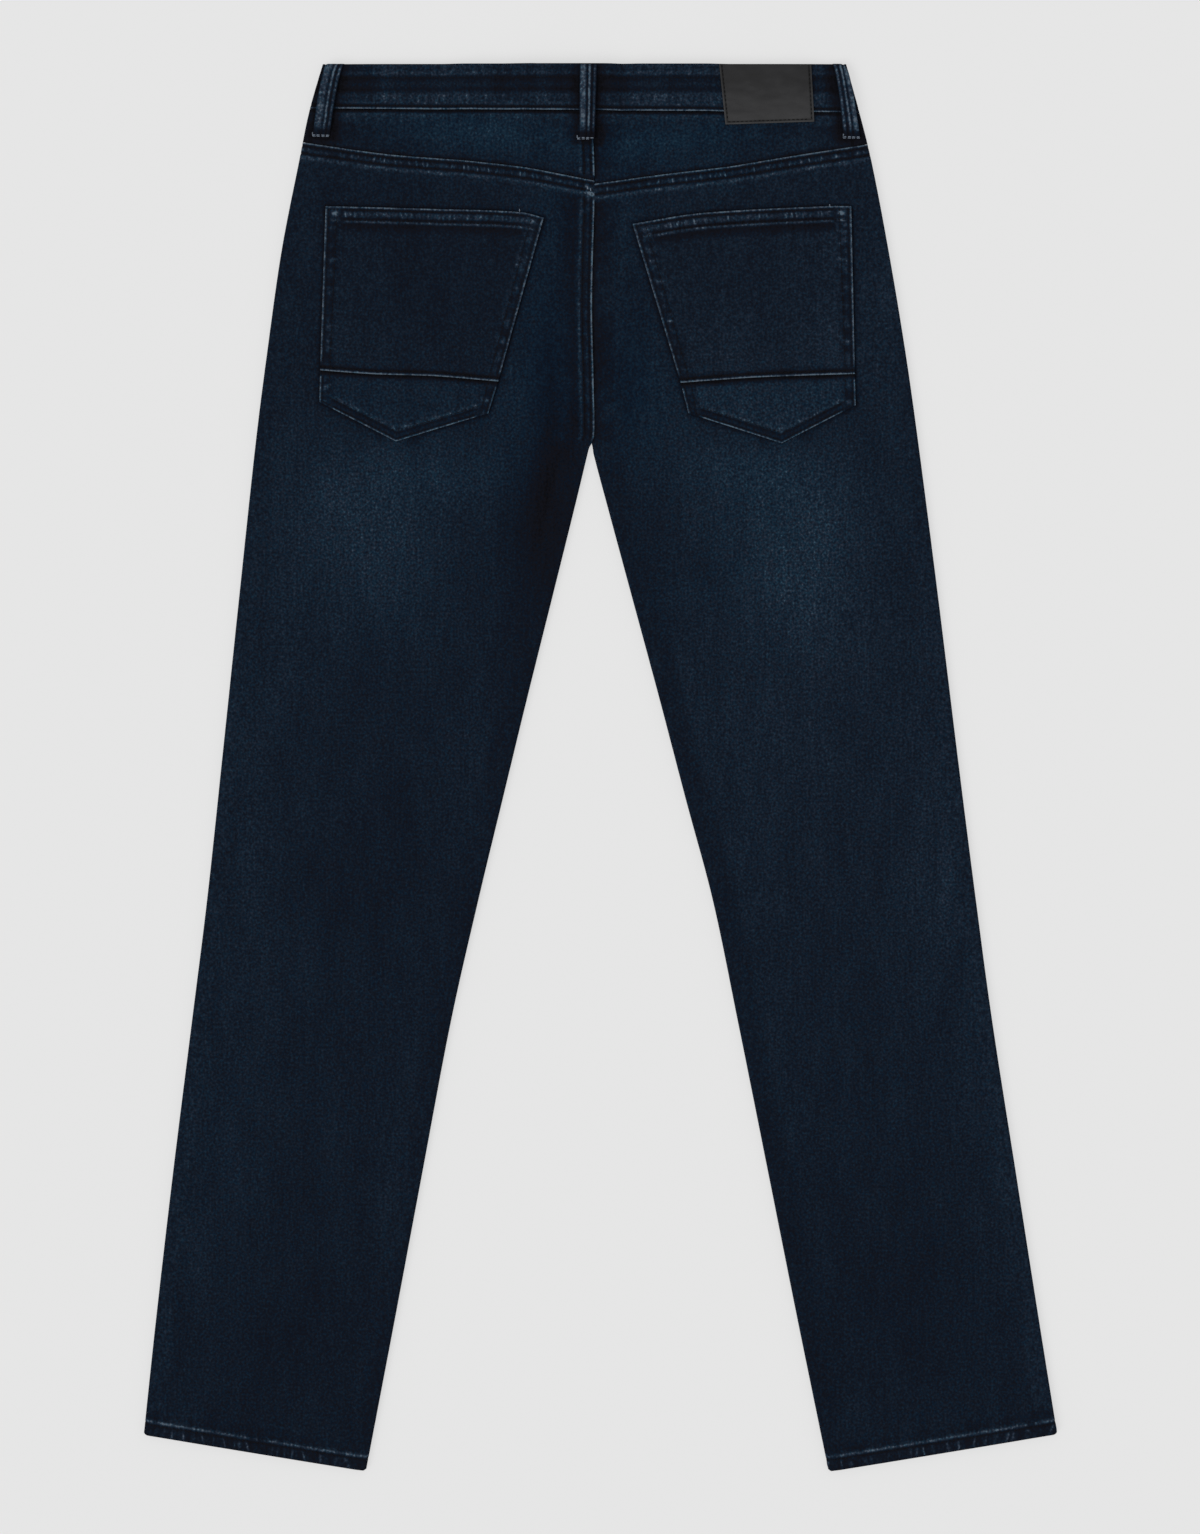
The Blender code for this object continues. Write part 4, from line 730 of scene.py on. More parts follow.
class Paint:
    """The tone, blue wash and relief of a piece, while its seams are drawn in."""

    def __init__(self, place, seed, tone, wash):
        self.place = place
        self.seed = seed
        self.tone = np.full(place.x.shape, tone)
        self.wash = np.full(place.x.shape, wash)
        self.relief = np.zeros(place.x.shape)

    def blend(self, run, distance, marks, number, share=1.0, rough=1.0):
        """Blend a seam's own tones into the cloth's, unevenly along the seam."""
        seed = self.seed + number
        own = at_marks(distance / MM, marks)
        beads = np.cos(2 * pi * run / SEAM_THREAD.pitch)
        worn = 0.34 * (uneven(run, seed, 0.0038) - 0.5) + 0.24 * (uneven(run, seed + 1, 0.031) - 0.5)
        own = own * (1.0 + rough * (worn + 0.12 * beads))
        end = marks[-1][0]
        self.tone = mix(self.tone, own, share * fall(0.72 * end, end, distance / MM))

    def pucker(self, run, distance, seam, seed, share=1.0):
        """The dents of a seam's stitches, and the folds between them with their worn tops."""
        folds = puckers(run, distance, seed, seam.spacing, seam.start, seam.end, seam.even, seam.thin)
        self.relief = self.relief + share * seam.height * folds
        for stitch in seam.stitches:
            self.relief = self.relief - share * groove(distance, stitch)
        self.tone = self.tone + PUCKER_TONE * seam.height * share * folds

    def seam(self, run, distance, seam, number, share=1.0):
        """All that a seam does to the cloth at a distance from its edge."""
        self.blend(run, distance, seam.tones, number, share, seam.rough)
        self.pucker(run, distance, seam, self.seed + number + 7, share)

    def side(self, side):
        """The lighter outer edge of a leg: wear along its rolled fold, with a painted highlight on the roll.
        """
        share = 0.7 * fall(0.02, 0.27, self.place.y)
        self.blend(self.place.y, self.place.from_a, SIDE_TONES[side], 1, share, 0.0)

    def smudge(self):
        """Worn knots and puckers, drawn over the seams."""
        for along_it, across, _, (tone, _) in marks_at(SMUDGES, self.place.x, self.place.y):
            self.tone = self.tone + tone * np.exp(-(along_it**2) - across**2)

    def shade_loops(self):
        # painted shadow beside the loops: darker, and greyer as the wash falls
        shade = loop_shade(self.place.x, self.place.y)
        self.tone = np.maximum(self.tone - shade, DARKEST_TONE)
        self.wash = self.wash - shade


def faded(place, seed=0, tone=BASE_TONE):
    """The paint of washed denim, before its seams: its fades, with painted shade beside the left inseam."""
    paint = Paint(place, seed, tone, BASE_WASH)
    for along_it, across, _, (more_tone, more_wash) in marks_at(FADES_AND_SHADE, place.x, place.y):
        strength = np.exp(-(along_it**2) - across**2)
        paint.tone += more_tone * strength
        paint.wash += more_wash * strength
    paint.wash = np.clip(paint.wash, 0.0, 1.0)
    return paint


# ---- Walls of cloth --------------------------------------------------------------------------
Edge = namedtuple("Edge", "x inward fold")
Columns = namedtuple("Columns", "distance angle")
Wall = namedtuple("Wall", "outer inner tone wash turn")

FOLD_STEPS = 10
FOLD_ANGLES = np.radians(np.linspace(86.6, 0.0, FOLD_STEPS))
ROLLED = np.zeros(FOLD_STEPS)
PLAIN = 9.0  # marks a column that lies flat


# how far an edge is rolled over at y: not at all, all the way, or only below the crotch
def flat(y):
    return np.zeros(np.shape(y))


def folded(y):
    return np.ones(np.shape(y))


def leg_fold(y):
    return 1.0 - ease(CROTCH_Y - CROTCH_FOLD_LENGTH, CROTCH_Y - CROTCH_CLEAR, y)


def meet(edge, line):
    """Height at which a line across the garment meets an edge."""
    y = line(edge.x(CROTCH_Y))
    for _ in range(12):
        y = line(edge.x(y))
    return float(y)


def columns(plain, flat_distances=None):
    """Columns in from an edge: round its fold, if it has one, and then flat."""
    if flat_distances is None:
        return Columns(np.array(plain), np.full(len(plain), PLAIN))
    distance = np.concatenate([flat_distances, plain])
    angle = np.concatenate([FOLD_ANGLES, np.full(len(plain), PLAIN)])
    return Columns(distance, angle)


def lay_piece(edges, top, bottom, levels, sides, middle, facing, face, cloth, finish):
    """A piece between two edges, as grids of points on its outer and inner faces.

    levels run down the piece and sides are its columns at each edge, with more in the middle.
    face and cloth give the height and thickness at a Place, and finish its Paint.
    """
    level = np.asarray(levels)[:, None]
    edge_a, edge_b = edges
    tops = [meet(edge, top) for edge in edges]
    bottoms = [meet(edge, bottom) for edge in edges]
    y_a, y_b = (mix(high, low, level) for high, low in zip(tops, bottoms))
    x_a, x_b = edge_a.x(y_a), edge_b.x(y_b)
    fold_a, fold_b = edge_a.fold(y_a), edge_b.fold(y_b)
    top_a, top_b = (edge.x(y) for edge, y in zip(edges, tops))
    bottom_a, bottom_b = (edge.x(y) for edge, y in zip(edges, bottoms))
    narrowing = np.minimum(1.0, (x_b - x_a) / (top_b - top_a))

    def offsets(side, fold):
        turned = mix(side.distance, FOLD_RADIUS * (1.0 - np.sin(side.angle)), fold)
        return np.where(side.angle == PLAIN, side.distance * narrowing, turned)

    flat_a = x_a + edge_a.inward * offsets(sides[0], fold_a)
    flat_b = (x_b + edge_b.inward * offsets(sides[1], fold_b))[:, ::-1]
    between_them = mix(flat_a[:, -1:], flat_b[:, :1], np.linspace(0.0, 1.0, middle + 2)[1:-1])
    x = np.hstack([flat_a, between_them, flat_b])
    share = (x - x_a) / (x_b - x_a)
    top_here = top(mix(top_a, top_b, share))
    bottom_here = bottom(mix(bottom_a, bottom_b, share))
    y = mix(top_here, bottom_here, level)
    whole = np.ones(x.shape)
    place = Place(
        x, y, abs(x - x_a), abs(x_b - x), top_here - y, y - bottom_here, fold_a * whole, fold_b * whole
    )

    is_a = np.arange(x.shape[1]) < x.shape[1] - len(sides[1].angle)
    angle = np.concatenate([sides[0].angle, np.full(middle, PLAIN), sides[1].angle[::-1]])
    fold = np.where(angle == PLAIN, 0.0, np.where(is_a, fold_a, fold_b))
    angle = np.where(angle == PLAIN, 0.0, angle)
    edge_x = np.where(is_a, x_a, x_b)
    inward = np.where(is_a, edge_a.inward, edge_b.inward)
    paint = finish(place)
    thickness = cloth(place)
    height = face(place)
    faces = []
    for rise in (paint.relief, -thickness):
        radius = FOLD_RADIUS + rise
        x_fold = edge_x + inward * (FOLD_RADIUS - radius * np.sin(angle))
        z_fold = FOLD_RADIUS + facing * radius * np.cos(angle)
        faces.append(grid(mix(x, x_fold, fold), y, mix(height + facing * rise, z_fold, fold)))
    return Wall(*faces, paint.tone, paint.wash, facing * edge_a.inward)


def quad_corners(rows, cols):
    """Index of the four corners of each cell of a grid, down first."""
    index = np.arange(rows * cols).reshape(rows, cols)
    return np.stack([index[:-1, :-1], index[1:, :-1], index[1:, 1:], index[:-1, 1:]], axis=-1)


def add_mesh(name, points, quads, stuff, tones=None):
    material, slot = stuff
    mesh = bpy.data.meshes.new(name)
    mesh.from_pydata(points.tolist(), [], quads.tolist())
    for attribute, values in (tones or {}).items():
        layer = mesh.attributes.new(attribute, "FLOAT", "POINT")
        layer.data.foreach_set("value", np.ascontiguousarray(values, dtype=np.float32))
    mesh.shade_smooth()
    mesh.set_sharp_from_angle(angle=SHARP_ANGLE)
    mesh.materials.append(material)
    piece = add_object(name, mesh)
    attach(piece, "root")
    return piece


def add_object(name, data):
    made = bpy.data.objects.new(name, data)
    bpy.context.scene.collection.objects.link(made)
    return made


def wall_of_cloth(node, wall, stuff, reverse=REVERSE_TONE, opening=None):
    """One closed shell from a wall's two grids, in the place of a CAD node."""
    rows, cols = wall.outer.shape[:2]
    corners = quad_corners(rows, cols)
    is_cloth = np.ones((rows - 1, cols - 1), dtype=bool)
    if opening is not None:
        centres = (wall.outer[:-1, :-1] + wall.outer[1:, 1:]) / 2
        is_cloth &= ~opening(centres[..., 0], centres[..., 1])
    padded = np.pad(is_cloth, 1)
    outer = corners[is_cloth]
    behind = rows * cols
    parts = [outer, outer[:, ::-1] + behind]
    # each cell's edges: its left, lower, right and upper neighbour
    neighbours = (padded[1:-1, :-2], padded[2:, 1:-1], padded[1:-1, 2:], padded[:-2, 1:-1])
    for side, neighbour in enumerate(neighbours):
        rim = corners[is_cloth & ~neighbour]
        start, end = rim[:, side], rim[:, (side + 1) % 4]
        parts.append(np.stack([end, start, start + behind, end + behind], axis=-1))
    quads = np.vstack(parts)[:, :: wall.turn]
    points = np.concatenate([wall.outer.reshape(-1, 3), wall.inner.reshape(-1, 3)])
    # the reverse face's outer ring, which the walls join, takes the painted edge shade
    back_tone = np.pad(np.full((rows - 2, cols - 2), reverse), 1, constant_values=EDGE_SHADE_TONE)
    used, renumbered = np.unique(quads, return_inverse=True)
    tones = {
        "tone": np.concatenate([wall.tone.ravel(), back_tone.ravel()])[used],
        "wash": np.concatenate([wall.wash.ravel(), np.zeros(behind)])[used],
    }
    piece = add_mesh(f"{node}_cloth", points[used], renumbered.reshape(quads.shape), stuff, tones)
    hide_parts(node)
    return piece


def strip(node, x, y, under, outer, tone, stuff, turn=1, reverse=REVERSE_TONE):
    """A small piece from its own grids, with no blue wash."""
    wall = Wall(grid(x, y, outer), grid(x, y, under), tone + 0.0 * x, 0.0 * x, turn)
    return wall_of_cloth(node, wall, stuff, reverse)


def lay_sheet(node, wall, stuff, reverse=REVERSE_TONE, opening=None):
    """A wall of cloth, as one closed shell in the place of a CAD node."""
    piece = wall_of_cloth(node, wall, stuff, reverse, opening)
    return piece


# ---- Materials -------------------------------------------------------------------------------
def srgb(red, green, blue):
    """Linear colour of an 8-bit screen colour."""
    channels = np.array([red, green, blue]) / 255.0
    linear = np.where(channels <= 0.04045, channels / 12.92, ((channels + 0.055) / 1.055) ** 2.4)
    return (*linear.tolist(), 1.0)


HAZE = 0.0010  # what the cloth's own shine adds back


def dyed(*rows):
    """Stops of the dye under the shine of the cloth, from rows of place, red, green and blue."""
    stops = []
    for at, *colour in rows:
        linear = (max(channel - HAZE, 0.0002) for channel in srgb(*colour)[:3])
        stops.append((at, (*linear, 1.0)))
    return stops


GREY_DENIM = dyed(
    (0.00, 13, 12.5, 15), (0.15, 18.5, 19, 25), (0.30, 17.3, 21, 29.5), (0.45, 20.5, 27, 37.2),
    (0.60, 27, 35, 47), (0.75, 38, 45, 58), (0.86, 49, 58, 70), (1.00, 82, 93, 105),
)
BLUE_DENIM = dyed(
    (0.00, 9, 12, 18), (0.15, 12, 18, 28), (0.30, 13, 24, 38), (0.45, 16, 32, 47),
    (0.60, 21, 40, 55), (0.75, 30, 52, 67), (0.86, 42, 65, 82), (1.00, 76, 99, 114),
)
WHITE = (1.0, 1.0, 1.0, 1.0)
TWILL_PITCH = 0.0010
TWILL_TURN = 28.0


class Shader:
    """A material's node tree, with short calls for the nodes used here."""

    def __init__(self, name):
        self.material = bpy.data.materials.new(name)
        self.material.use_nodes = True
        self.tree = self.material.node_tree
        self.place = self.node("TexCoord").outputs["Object"]

    def join(self, value, socket):
        if isinstance(value, bpy.types.NodeSocket):
            self.tree.links.new(value, socket)
        else:
            socket.default_value = value

    def fill(self, node, inputs):
        for name, value in inputs.items():
            self.join(value, node.inputs[name.replace("_", " ")])
        return node

    def node(self, kind, **inputs):
        return self.fill(self.tree.nodes.new(f"ShaderNode{kind}"), inputs)

    def surface(self, **inputs):
        """Give the material its look, and hand it over."""
        self.fill(self.tree.nodes["Principled BSDF"], inputs)
        return self.material

    def math(self, operation, *values, clamp=False):
        node = self.node("Math")
        node.operation = operation
        node.use_clamp = clamp
        for socket, value in zip(node.inputs, values):
            self.join(value, socket)
        return node.outputs["Value"]

    def scaled(self, value, gain, base):
        return self.math("MULTIPLY_ADD", value, gain, base)

    def around(self, value, gain, base, clamp=False):
        """A base, moved by how far a value is from one half."""
        return self.math("MULTIPLY_ADD", self.math("SUBTRACT", value, 0.5), gain, base, clamp=clamp)

    def attribute(self, name):
        node = self.node("Attribute")
        node.attribute_name = name
        return node.outputs["Fac"]

    def mapped(self, scale, turn=0.0):
        node = self.node("Mapping", Vector=self.place, Scale=scale, Rotation=(0.0, 0.0, radians(turn)))
        return node.outputs["Vector"]

    def noise(self, scale, detail):
        node = self.node("TexNoise", Vector=self.mapped(scale), Scale=1.0, Detail=detail)
        return node.outputs["Fac"]

    def bands(self, pitch, turn, distortion):
        """Parallel ridges, pitch metres apart."""
        place = self.mapped((1 / pitch,) * 3, turn)
        node = self.node("TexWave", Vector=place, Scale=pi / 10, Distortion=distortion, Detail=1.0)
        return node.outputs["Fac"]

    def ramp(self, stops, position):
        node = self.node("ValToRGB", Fac=position)
        elements = node.color_ramp.elements
        elements.remove(elements[-1])
        elements[0].position, elements[0].color = stops[0]
        for at, colour in stops[1:]:
            elements.new(at).color = colour
        return node.outputs["Color"]

    def blend(self, share, first, second):
        node = self.node("Mix")
        node.data_type = "RGBA"
        self.fill(node, {"Factor": share, "A": first, "B": second})
        return node.outputs["Result"]

    def bump(self, height, distance, strength):
        return self.node("Bump", Height=height, Distance=distance, Strength=strength).outputs["Normal"]


def make_denim(name):
    """Washed dark denim: tone and wash are painted on the mesh, grain and weave come here."""
    shader = Shader(name)
    grain = shader.noise((520, 480, 500), 3.0)
    slub = shader.noise((700, 60, 400), 2.0)
    patchy = shader.noise((48, 16, 30), 4.0)
    streaks = shader.noise((420, 22, 300), 2.0)
    hue = shader.noise((610, 570, 590), 2.0)
    twill = shader.bands(TWILL_PITCH, TWILL_TURN, 0.6)
    tone = shader.attribute("tone")
    change = shader.around(twill, 0.08, shader.around(slub, 0.20, shader.around(grain, 1.10, 0.0)))
    rough = shader.math("MINIMUM", shader.scaled(tone, 1.5, 0.25), shader.scaled(tone, -1.8, 2.35))
    change = shader.around(patchy, 0.20, shader.math("MULTIPLY", change, rough))
    change = shader.around(streaks, 0.14, change)
    toned = shader.math("ADD", tone, change, clamp=True)
    # the darkest tones turn greyer: stitch lines, and the painted shadows and shade
    dark_greying = shader.math("MINIMUM", shader.scaled(tone, 2.2, -0.66), 0.0)
    washed = shader.math("ADD", shader.scaled(shader.attribute("wash"), 0.8, 0.2), dark_greying)
    washed = shader.around(hue, 4.2, washed, clamp=True)
    weave = shader.scaled(grain, 0.7, shader.math("MULTIPLY", twill, 0.5))
    return shader.surface(
        Base_Color=shader.blend(washed, shader.ramp(GREY_DENIM, toned), shader.ramp(BLUE_DENIM, toned)),
        Roughness=shader.scaled(grain, 0.15, 0.78),
        Specular_IOR_Level=0.025,
        Sheen_Weight=0.003,
        Sheen_Roughness=0.5,
        Normal=shader.bump(weave, 0.00022, 0.8),
    )


def make_leather():
    shader = Shader("patch_leather")
    grain = shader.noise((1400,) * 3, 4.0)
    cloud = shader.noise((70, 150, 90), 4.0)
    tone = shader.around(grain, 0.12, shader.around(cloud, 0.50, shader.attribute("tone")), clamp=True)
    stops = ((0.0, srgb(19, 18, 18)), (0.5, srgb(41, 41, 42)), (1.0, srgb(62, 62, 63)))
    return shader.surface(
        Base_Color=shader.ramp(stops, tone),
        Roughness=shader.scaled(grain, 0.2, 0.5),
        Specular_IOR_Level=0.12,
        Normal=shader.bump(grain, 0.00010, 0.6),
    )


def make_thread(name, dark, light):
    shader = Shader(name)
    twist = shader.noise((2600,) * 3, 2.0)
    return shader.surface(
        Base_Color=shader.ramp(((0.3, dark), (0.7, light)), twist),
        Roughness=0.7,
        Specular_IOR_Level=0.10,
        Normal=shader.bump(twist, 0.00006, 0.7),
    )


def make_brass():
    shader = Shader("aged_brass")
    wear = shader.noise((700,) * 3, 3.0)
    stops = ((0.35, (0.18, 0.115, 0.05, 1.0)), (0.7, (0.42, 0.30, 0.15, 1.0)))
    return shader.surface(
        Base_Color=shader.ramp(stops, wear),
        Metallic=1.0,
        Roughness=shader.scaled(wear, 0.25, 0.30),
        Normal=shader.bump(wear, 0.00003, 0.5),
    )


def make_zip_tape():
    shader = Shader("zip_tape_weave")
    weave = shader.bands(0.0008, 45.0, 0.3)
    fleck = shader.scaled(shader.noise((1500,) * 3, 2.0), 0.6, shader.math("MULTIPLY", weave, 0.4))
    return shader.surface(
        Base_Color=shader.ramp(((0.2, srgb(14, 16, 24)), (0.8, srgb(32, 36, 48))), fleck),
        Roughness=0.85,
        Specular_IOR_Level=0.10,
        Normal=shader.bump(fleck, 0.00012, 0.8),
    )


FLOOR_GREY = 0.79
FLOOR_GLOW = 0.75  # share of the floor's grey that it gives off itself, a painted glow that lifts the garment's shadows on the floor


def make_floor():
    matt = FLOOR_GREY * (1.0 - FLOOR_GLOW)
    return Shader("floor").surface(
        Base_Color=(matt, matt, matt, 1.0),
        Roughness=1.0,
        Specular_IOR_Level=0.0,
        Emission_Color=WHITE,
        Emission_Strength=FLOOR_GREY * FLOOR_GLOW,
    )


# each a material and its slot
DENIM = (make_denim("denim"), "denim")
POCKET_DENIM = (make_denim("pocket_denim"), "denim_dark")
LEATHER_SKIN = (make_leather(), "leather")
BRASS = (make_brass(), "brass")
ZIP_WEAVE = (make_zip_tape(), "zip_tape")
dark_thread = make_thread("dark_thread", srgb(8, 7, 8), srgb(19, 17, 19))
pale_thread = make_thread("pale_thread", srgb(72, 82, 96), srgb(122, 132, 144))


# ---- Back: yokes and seat-and-leg pieces -----------------------------------------------------
SIDE_PLAIN = graded((0.007, 0.0012), (0.030, 0.0030))[1:]
INNER_PLAIN = SEAM_BAND + graded((0.006, 0.0011), (0.030, 0.0035))[1:]
INNER_FLAT = np.array([0.0, 0.5, 1.0, 1.6, 2.8, 4.6, 6.8, 8.2, 9.0, 10.5]) * MM
SIDE_COLUMNS = columns(SIDE_PLAIN, ROLLED)


def side_edge(side):
    return Edge(side_seam[side], -AWAY[side], folded)


def middle_edge(side, line, fold, clear=SEAM_GAP / 2):
    """A line above the crotch and the inseam below it, moved a little to the side."""

    def x_at(y):
        return np.where(y > CROTCH_Y, line(y), inseam[side](y)) + AWAY[side] * clear

    return Edge(x_at, AWAY[side], fold)


def band_height(distance):
    return SEAM_RAISE * fall(SEAM_BAND - SEAM_STEP, SEAM_BAND, distance)


def in_hem(place):
    return fall(HEM_DEPTH, HEM_DEPTH + SEAM_STEP, place.above_bottom)


def on_seat(raise_at):
    """How a piece lies on the seat, whose cloth is raised where a seam or hem has more plies."""

    def face(place):
        return settle(place, back_top(place.x, place.y) + raise_at(place)) + loft(place)

    return {"facing": UP, "face": face, "cloth": lambda place: CLOTH + raise_at(place)}


# the hem's pale ridge is broken here and there
RIDGE_PLACE = 0.0116
RIDGE_WIDTH = 0.0011
RIDGE_SPACING = 0.0100
HEM_UNWASHED = (0.0090, 0.0105)


def make_back(side):
    """One half of the seat with its leg. The left one is felled over the right one."""
    is_over = side == "left"
    seed = 11 if is_over else 31

    def raise_at(place):
        height = band_height(place.below_top)
        if is_over:
            height = np.maximum(height, band_height(place.from_b) * (1.0 - place.fold_b))
        return np.maximum(height, (HEM_CLOTH - CLOTH) * in_hem(place))

    def finish(place):
        x, y = place.x, place.y
        paint = faded(place, seed)
        paint.side(side)
        # painted shade beside the inseam's fold
        paint.blend(y, place.from_b, INSEAM_TONES, 2, 0.5 * place.fold_b, 0.0)
        roll = puckers(y, place.from_a, seed + 3, 0.011, 0.0, 0.007)
        roll += place.fold_b * puckers(y, place.from_b, seed + 4, 0.012, 0.0, 0.007)
        paint.relief += 0.00008 * roll
        above_crotch = (1.0 - place.fold_b) * ease(CROTCH_Y + 0.0005, CROTCH_Y + 0.0055, y)
        if is_over:
            paint.seam(y, place.from_b, CENTRE_SEAM, 5, above_crotch)
        else:
            # painted shadow beside the felled centre seam
            paint.blend(y, place.from_b, BESIDE_CENTRE_BACK_TONES, 5, above_crotch)
        paint.seam(x, place.below_top, YOKE_SEAM, 6)
        paint.seam(x, place.above_bottom, HEM_SEAM, 7)
        gaps = ease(0.72, 0.95, uneven(x, seed + 8, RIDGE_SPACING))
        paint.tone = paint.tone - 0.30 * gaps * hump(place.above_bottom - RIDGE_PLACE, RIDGE_WIDTH)
        paint.smudge()
        # painted shadow round the pocket
        paint.tone = np.maximum(paint.tone - pocket_shade(side, x, y), 0.05)
        paint.wash = paint.wash - 0.30 * fall(*HEM_UNWASHED, place.above_bottom)
        return paint

    length = float(yoke_seam[side](CROTCH_X) - HEMS[side].inseam.y)
    crotch = float(yoke_seam[side](CROTCH_X) - CROTCH_Y)
    down = graded(
        (0.0150, 0.0007), (0.024, 0.0015), (crotch + 0.010, 0.0027), (length - 0.048, 0.0100),
        (length - 0.020, 0.0024), (length, 0.0008),
    )
    wall = lay_piece(
        (side_edge(side), middle_edge(side, centre_back, leg_fold, clear=0.0)),
        top=yoke_seam[side],
        bottom=lambda x: hem_line(side, x),
        levels=down / length,
        sides=(SIDE_COLUMNS, columns(INNER_PLAIN, INNER_FLAT)),
        middle=150,
        finish=finish,
        **on_seat(raise_at),
    )
    return lay_sheet(f"back_{side}", wall, DENIM)


def make_yoke(side):
    is_over = side == "left"
    seed = 51 if is_over else 71

    def finish(place):
        paint = faded(place, seed, tone=0.33)
        if is_over:
            paint.seam(place.y, place.from_b, YOKE_CENTRE_SEAM, 5)
        else:
            # painted shadow beside the felled centre seam
            paint.blend(place.y, place.from_b, BESIDE_CENTRE_BACK_TONES, 5)
        # painted shadow under the waistband's lower edge
        paint.blend(place.x, place.below_top, BELOW_WAIST_SEAM_TONES, 1, rough=0.5)
        # painted shade above the yoke seam's step
        paint.blend(place.x, place.above_bottom, ABOVE_YOKE_SEAM_TONES, 2)
        folds = puckers(place.x, place.below_top, seed + 3, 0.012, 0.001, 0.008)
        paint.relief += 0.00015 * folds
        paint.tone += 0.05 * folds
        paint.smudge()
        paint.shade_loops()
        return paint

    wall = lay_piece(
        (side_edge(side), middle_edge(side, centre_back, flat)),
        top=lambda x: waist_seam(x) - SEAM_GAP,
        bottom=lambda x: yoke_seam[side](x) + SEAM_GAP,
        levels=graded((0.24, 0.012), (0.86, 0.030), (1.0, 0.014)),
        sides=(SIDE_COLUMNS, columns(np.concatenate([INNER_FLAT, INNER_PLAIN]))),
        middle=150,
        finish=finish,
        **on_seat(lambda place: is_over * band_height(place.from_b)),
    )
    return lay_sheet(f"yoke_{side}", wall, DENIM)


# ---- Front -----------------------------------------------------------------------------------
def underlap_width(y):
    return UNDERLAP * ease(FLY_FOOT_Y + FLY_FADE, FLY_FOOT_Y + 2 * FLY_FADE, y)


def fly_distance(x, y):
    """How far a point of the left front is inside the fly's J-shaped stitching."""
    from_edge = centre_front(y) - x
    below = np.maximum(FLY_FOOT_Y + FLY_WIDTH - y, 0.0)
    return FLY_WIDTH - np.sqrt(np.maximum(from_edge, 0.0) ** 2 + below**2)


def fly_lift(place):
    """The right front's underlap climbs over the zip."""
    from_fly = place.x - centre_front(place.y)
    ramp = 1.0 - np.clip((from_fly - SEAM_GAP) / UNDERLAP_RAMP, 0.0, 1.0)
    foot = ease(FLY_FOOT_Y, FLY_FOOT_Y + FLY_FADE - CROTCH_CLEAR, place.y)
    return np.where(place.y > CROTCH_Y, UNDERLAP_LIFT * ramp * foot, 0.0)


def make_front(side):
    is_over = side == "left"

    def front_edge_line(y):
        return centre_front(y) - (0.0 if is_over else underlap_width(y))

    def face(place):
        height = front_lift(place.x, place.y) + front_creases(place)
        return height if is_over else height + fly_lift(place)

    def finish(place):
        paint = faded(place, 91 if is_over else 111)
        paint.side(side)
        paint.seam(place.x, place.below_top, SCOOP_SEAM, 2)
        paint.seam(place.x, place.above_bottom, FRONT_HEM_SEAM, 7)
        if is_over:
            for stitch in FLY_STITCHES:
                paint.relief = paint.relief - groove(fly_distance(place.x, place.y), stitch)
        paint.relief = np.minimum(paint.relief, 0.0)
        return paint

    length = float(front_waist_seam(CLOSURE_X) - HEMS[side].inseam.y)
    down = graded(
        (0.020, 0.0020), (0.160, 0.0045), (length - 0.045, 0.0070), (length - 0.018, 0.003), (length, 0.0012)
    )
    scoop_columns = graded((0.008, 0.0020), (0.095, 0.0040), (SCOOP_WIDTH, 0.0010))[1:]
    fly_columns = UNDERLAP + graded((0.020, 0.0018), (0.093, 0.0040))[1:]
    wall = lay_piece(
        (side_edge(side), middle_edge(side, front_edge_line, leg_fold)),
        top=lambda x: front_pocket_mouth(side, x) - SEAM_GAP,
        bottom=lambda x: hem_line(side, x),
        levels=down / length,
        sides=(columns(scoop_columns, ROLLED), columns(fly_columns, np.linspace(0, UNDERLAP, FOLD_STEPS))),
        middle=1,
        facing=DOWN,
        face=face,
        cloth=lambda place: mix(CLOTH, HEM_CLOTH, in_hem(place)),
        finish=finish,
    )
    return lay_sheet(f"front_{side}", wall, DENIM)


def make_pocket_facing(side):
    inward = -AWAY[side]
    width = SCOOP_WIDTH + FACING_OVERLAP
    depth = SCOOP_DEPTH + FACING_OVERLAP
    corner_x = side_seam[side](WAIST_Y) + inward * CLOTH

    def bottom(x):
        share = np.minimum(abs(x - corner_x), width) / width
        return front_waist_seam(x) - depth * np.sqrt(1.0 - share * share)

    outer = Edge(lambda y: side_seam[side](y) + inward * FACING_SET_IN, inward, flat)
    inner = Edge(lambda y: 0.0 * y + corner_x + inward * (width - FACING_INNER_CUT), -inward, flat)
    wall = lay_piece(
        (outer, inner),
        top=lambda x: front_waist_seam(x) - SEAM_GAP,
        bottom=bottom,
        levels=np.linspace(0.0, 1.0, 22),
        sides=(columns(graded((0.050, 0.004))), columns(graded((0.025, 0.003)))),
        middle=8,
        facing=DOWN,
        face=lambda place: CLOTH + SEAM_GAP + front_lift(place.x, place.y, FACING_LIFT_SPARE),
        cloth=lambda place: CLOTH + 0.0 * place.x,
        finish=faded,
    )
    lay_sheet(f"pocket_facing_{side}", wall, POCKET_DENIM)


# ---- Waistband -------------------------------------------------------------------------------
def soften(place):
    return EDGE_SOFTENING * fall(0.0, EDGE_SOFTENING_REACH, place.below_top)


def band_cloth(place):
    return BAND_CLOTH - soften(place)


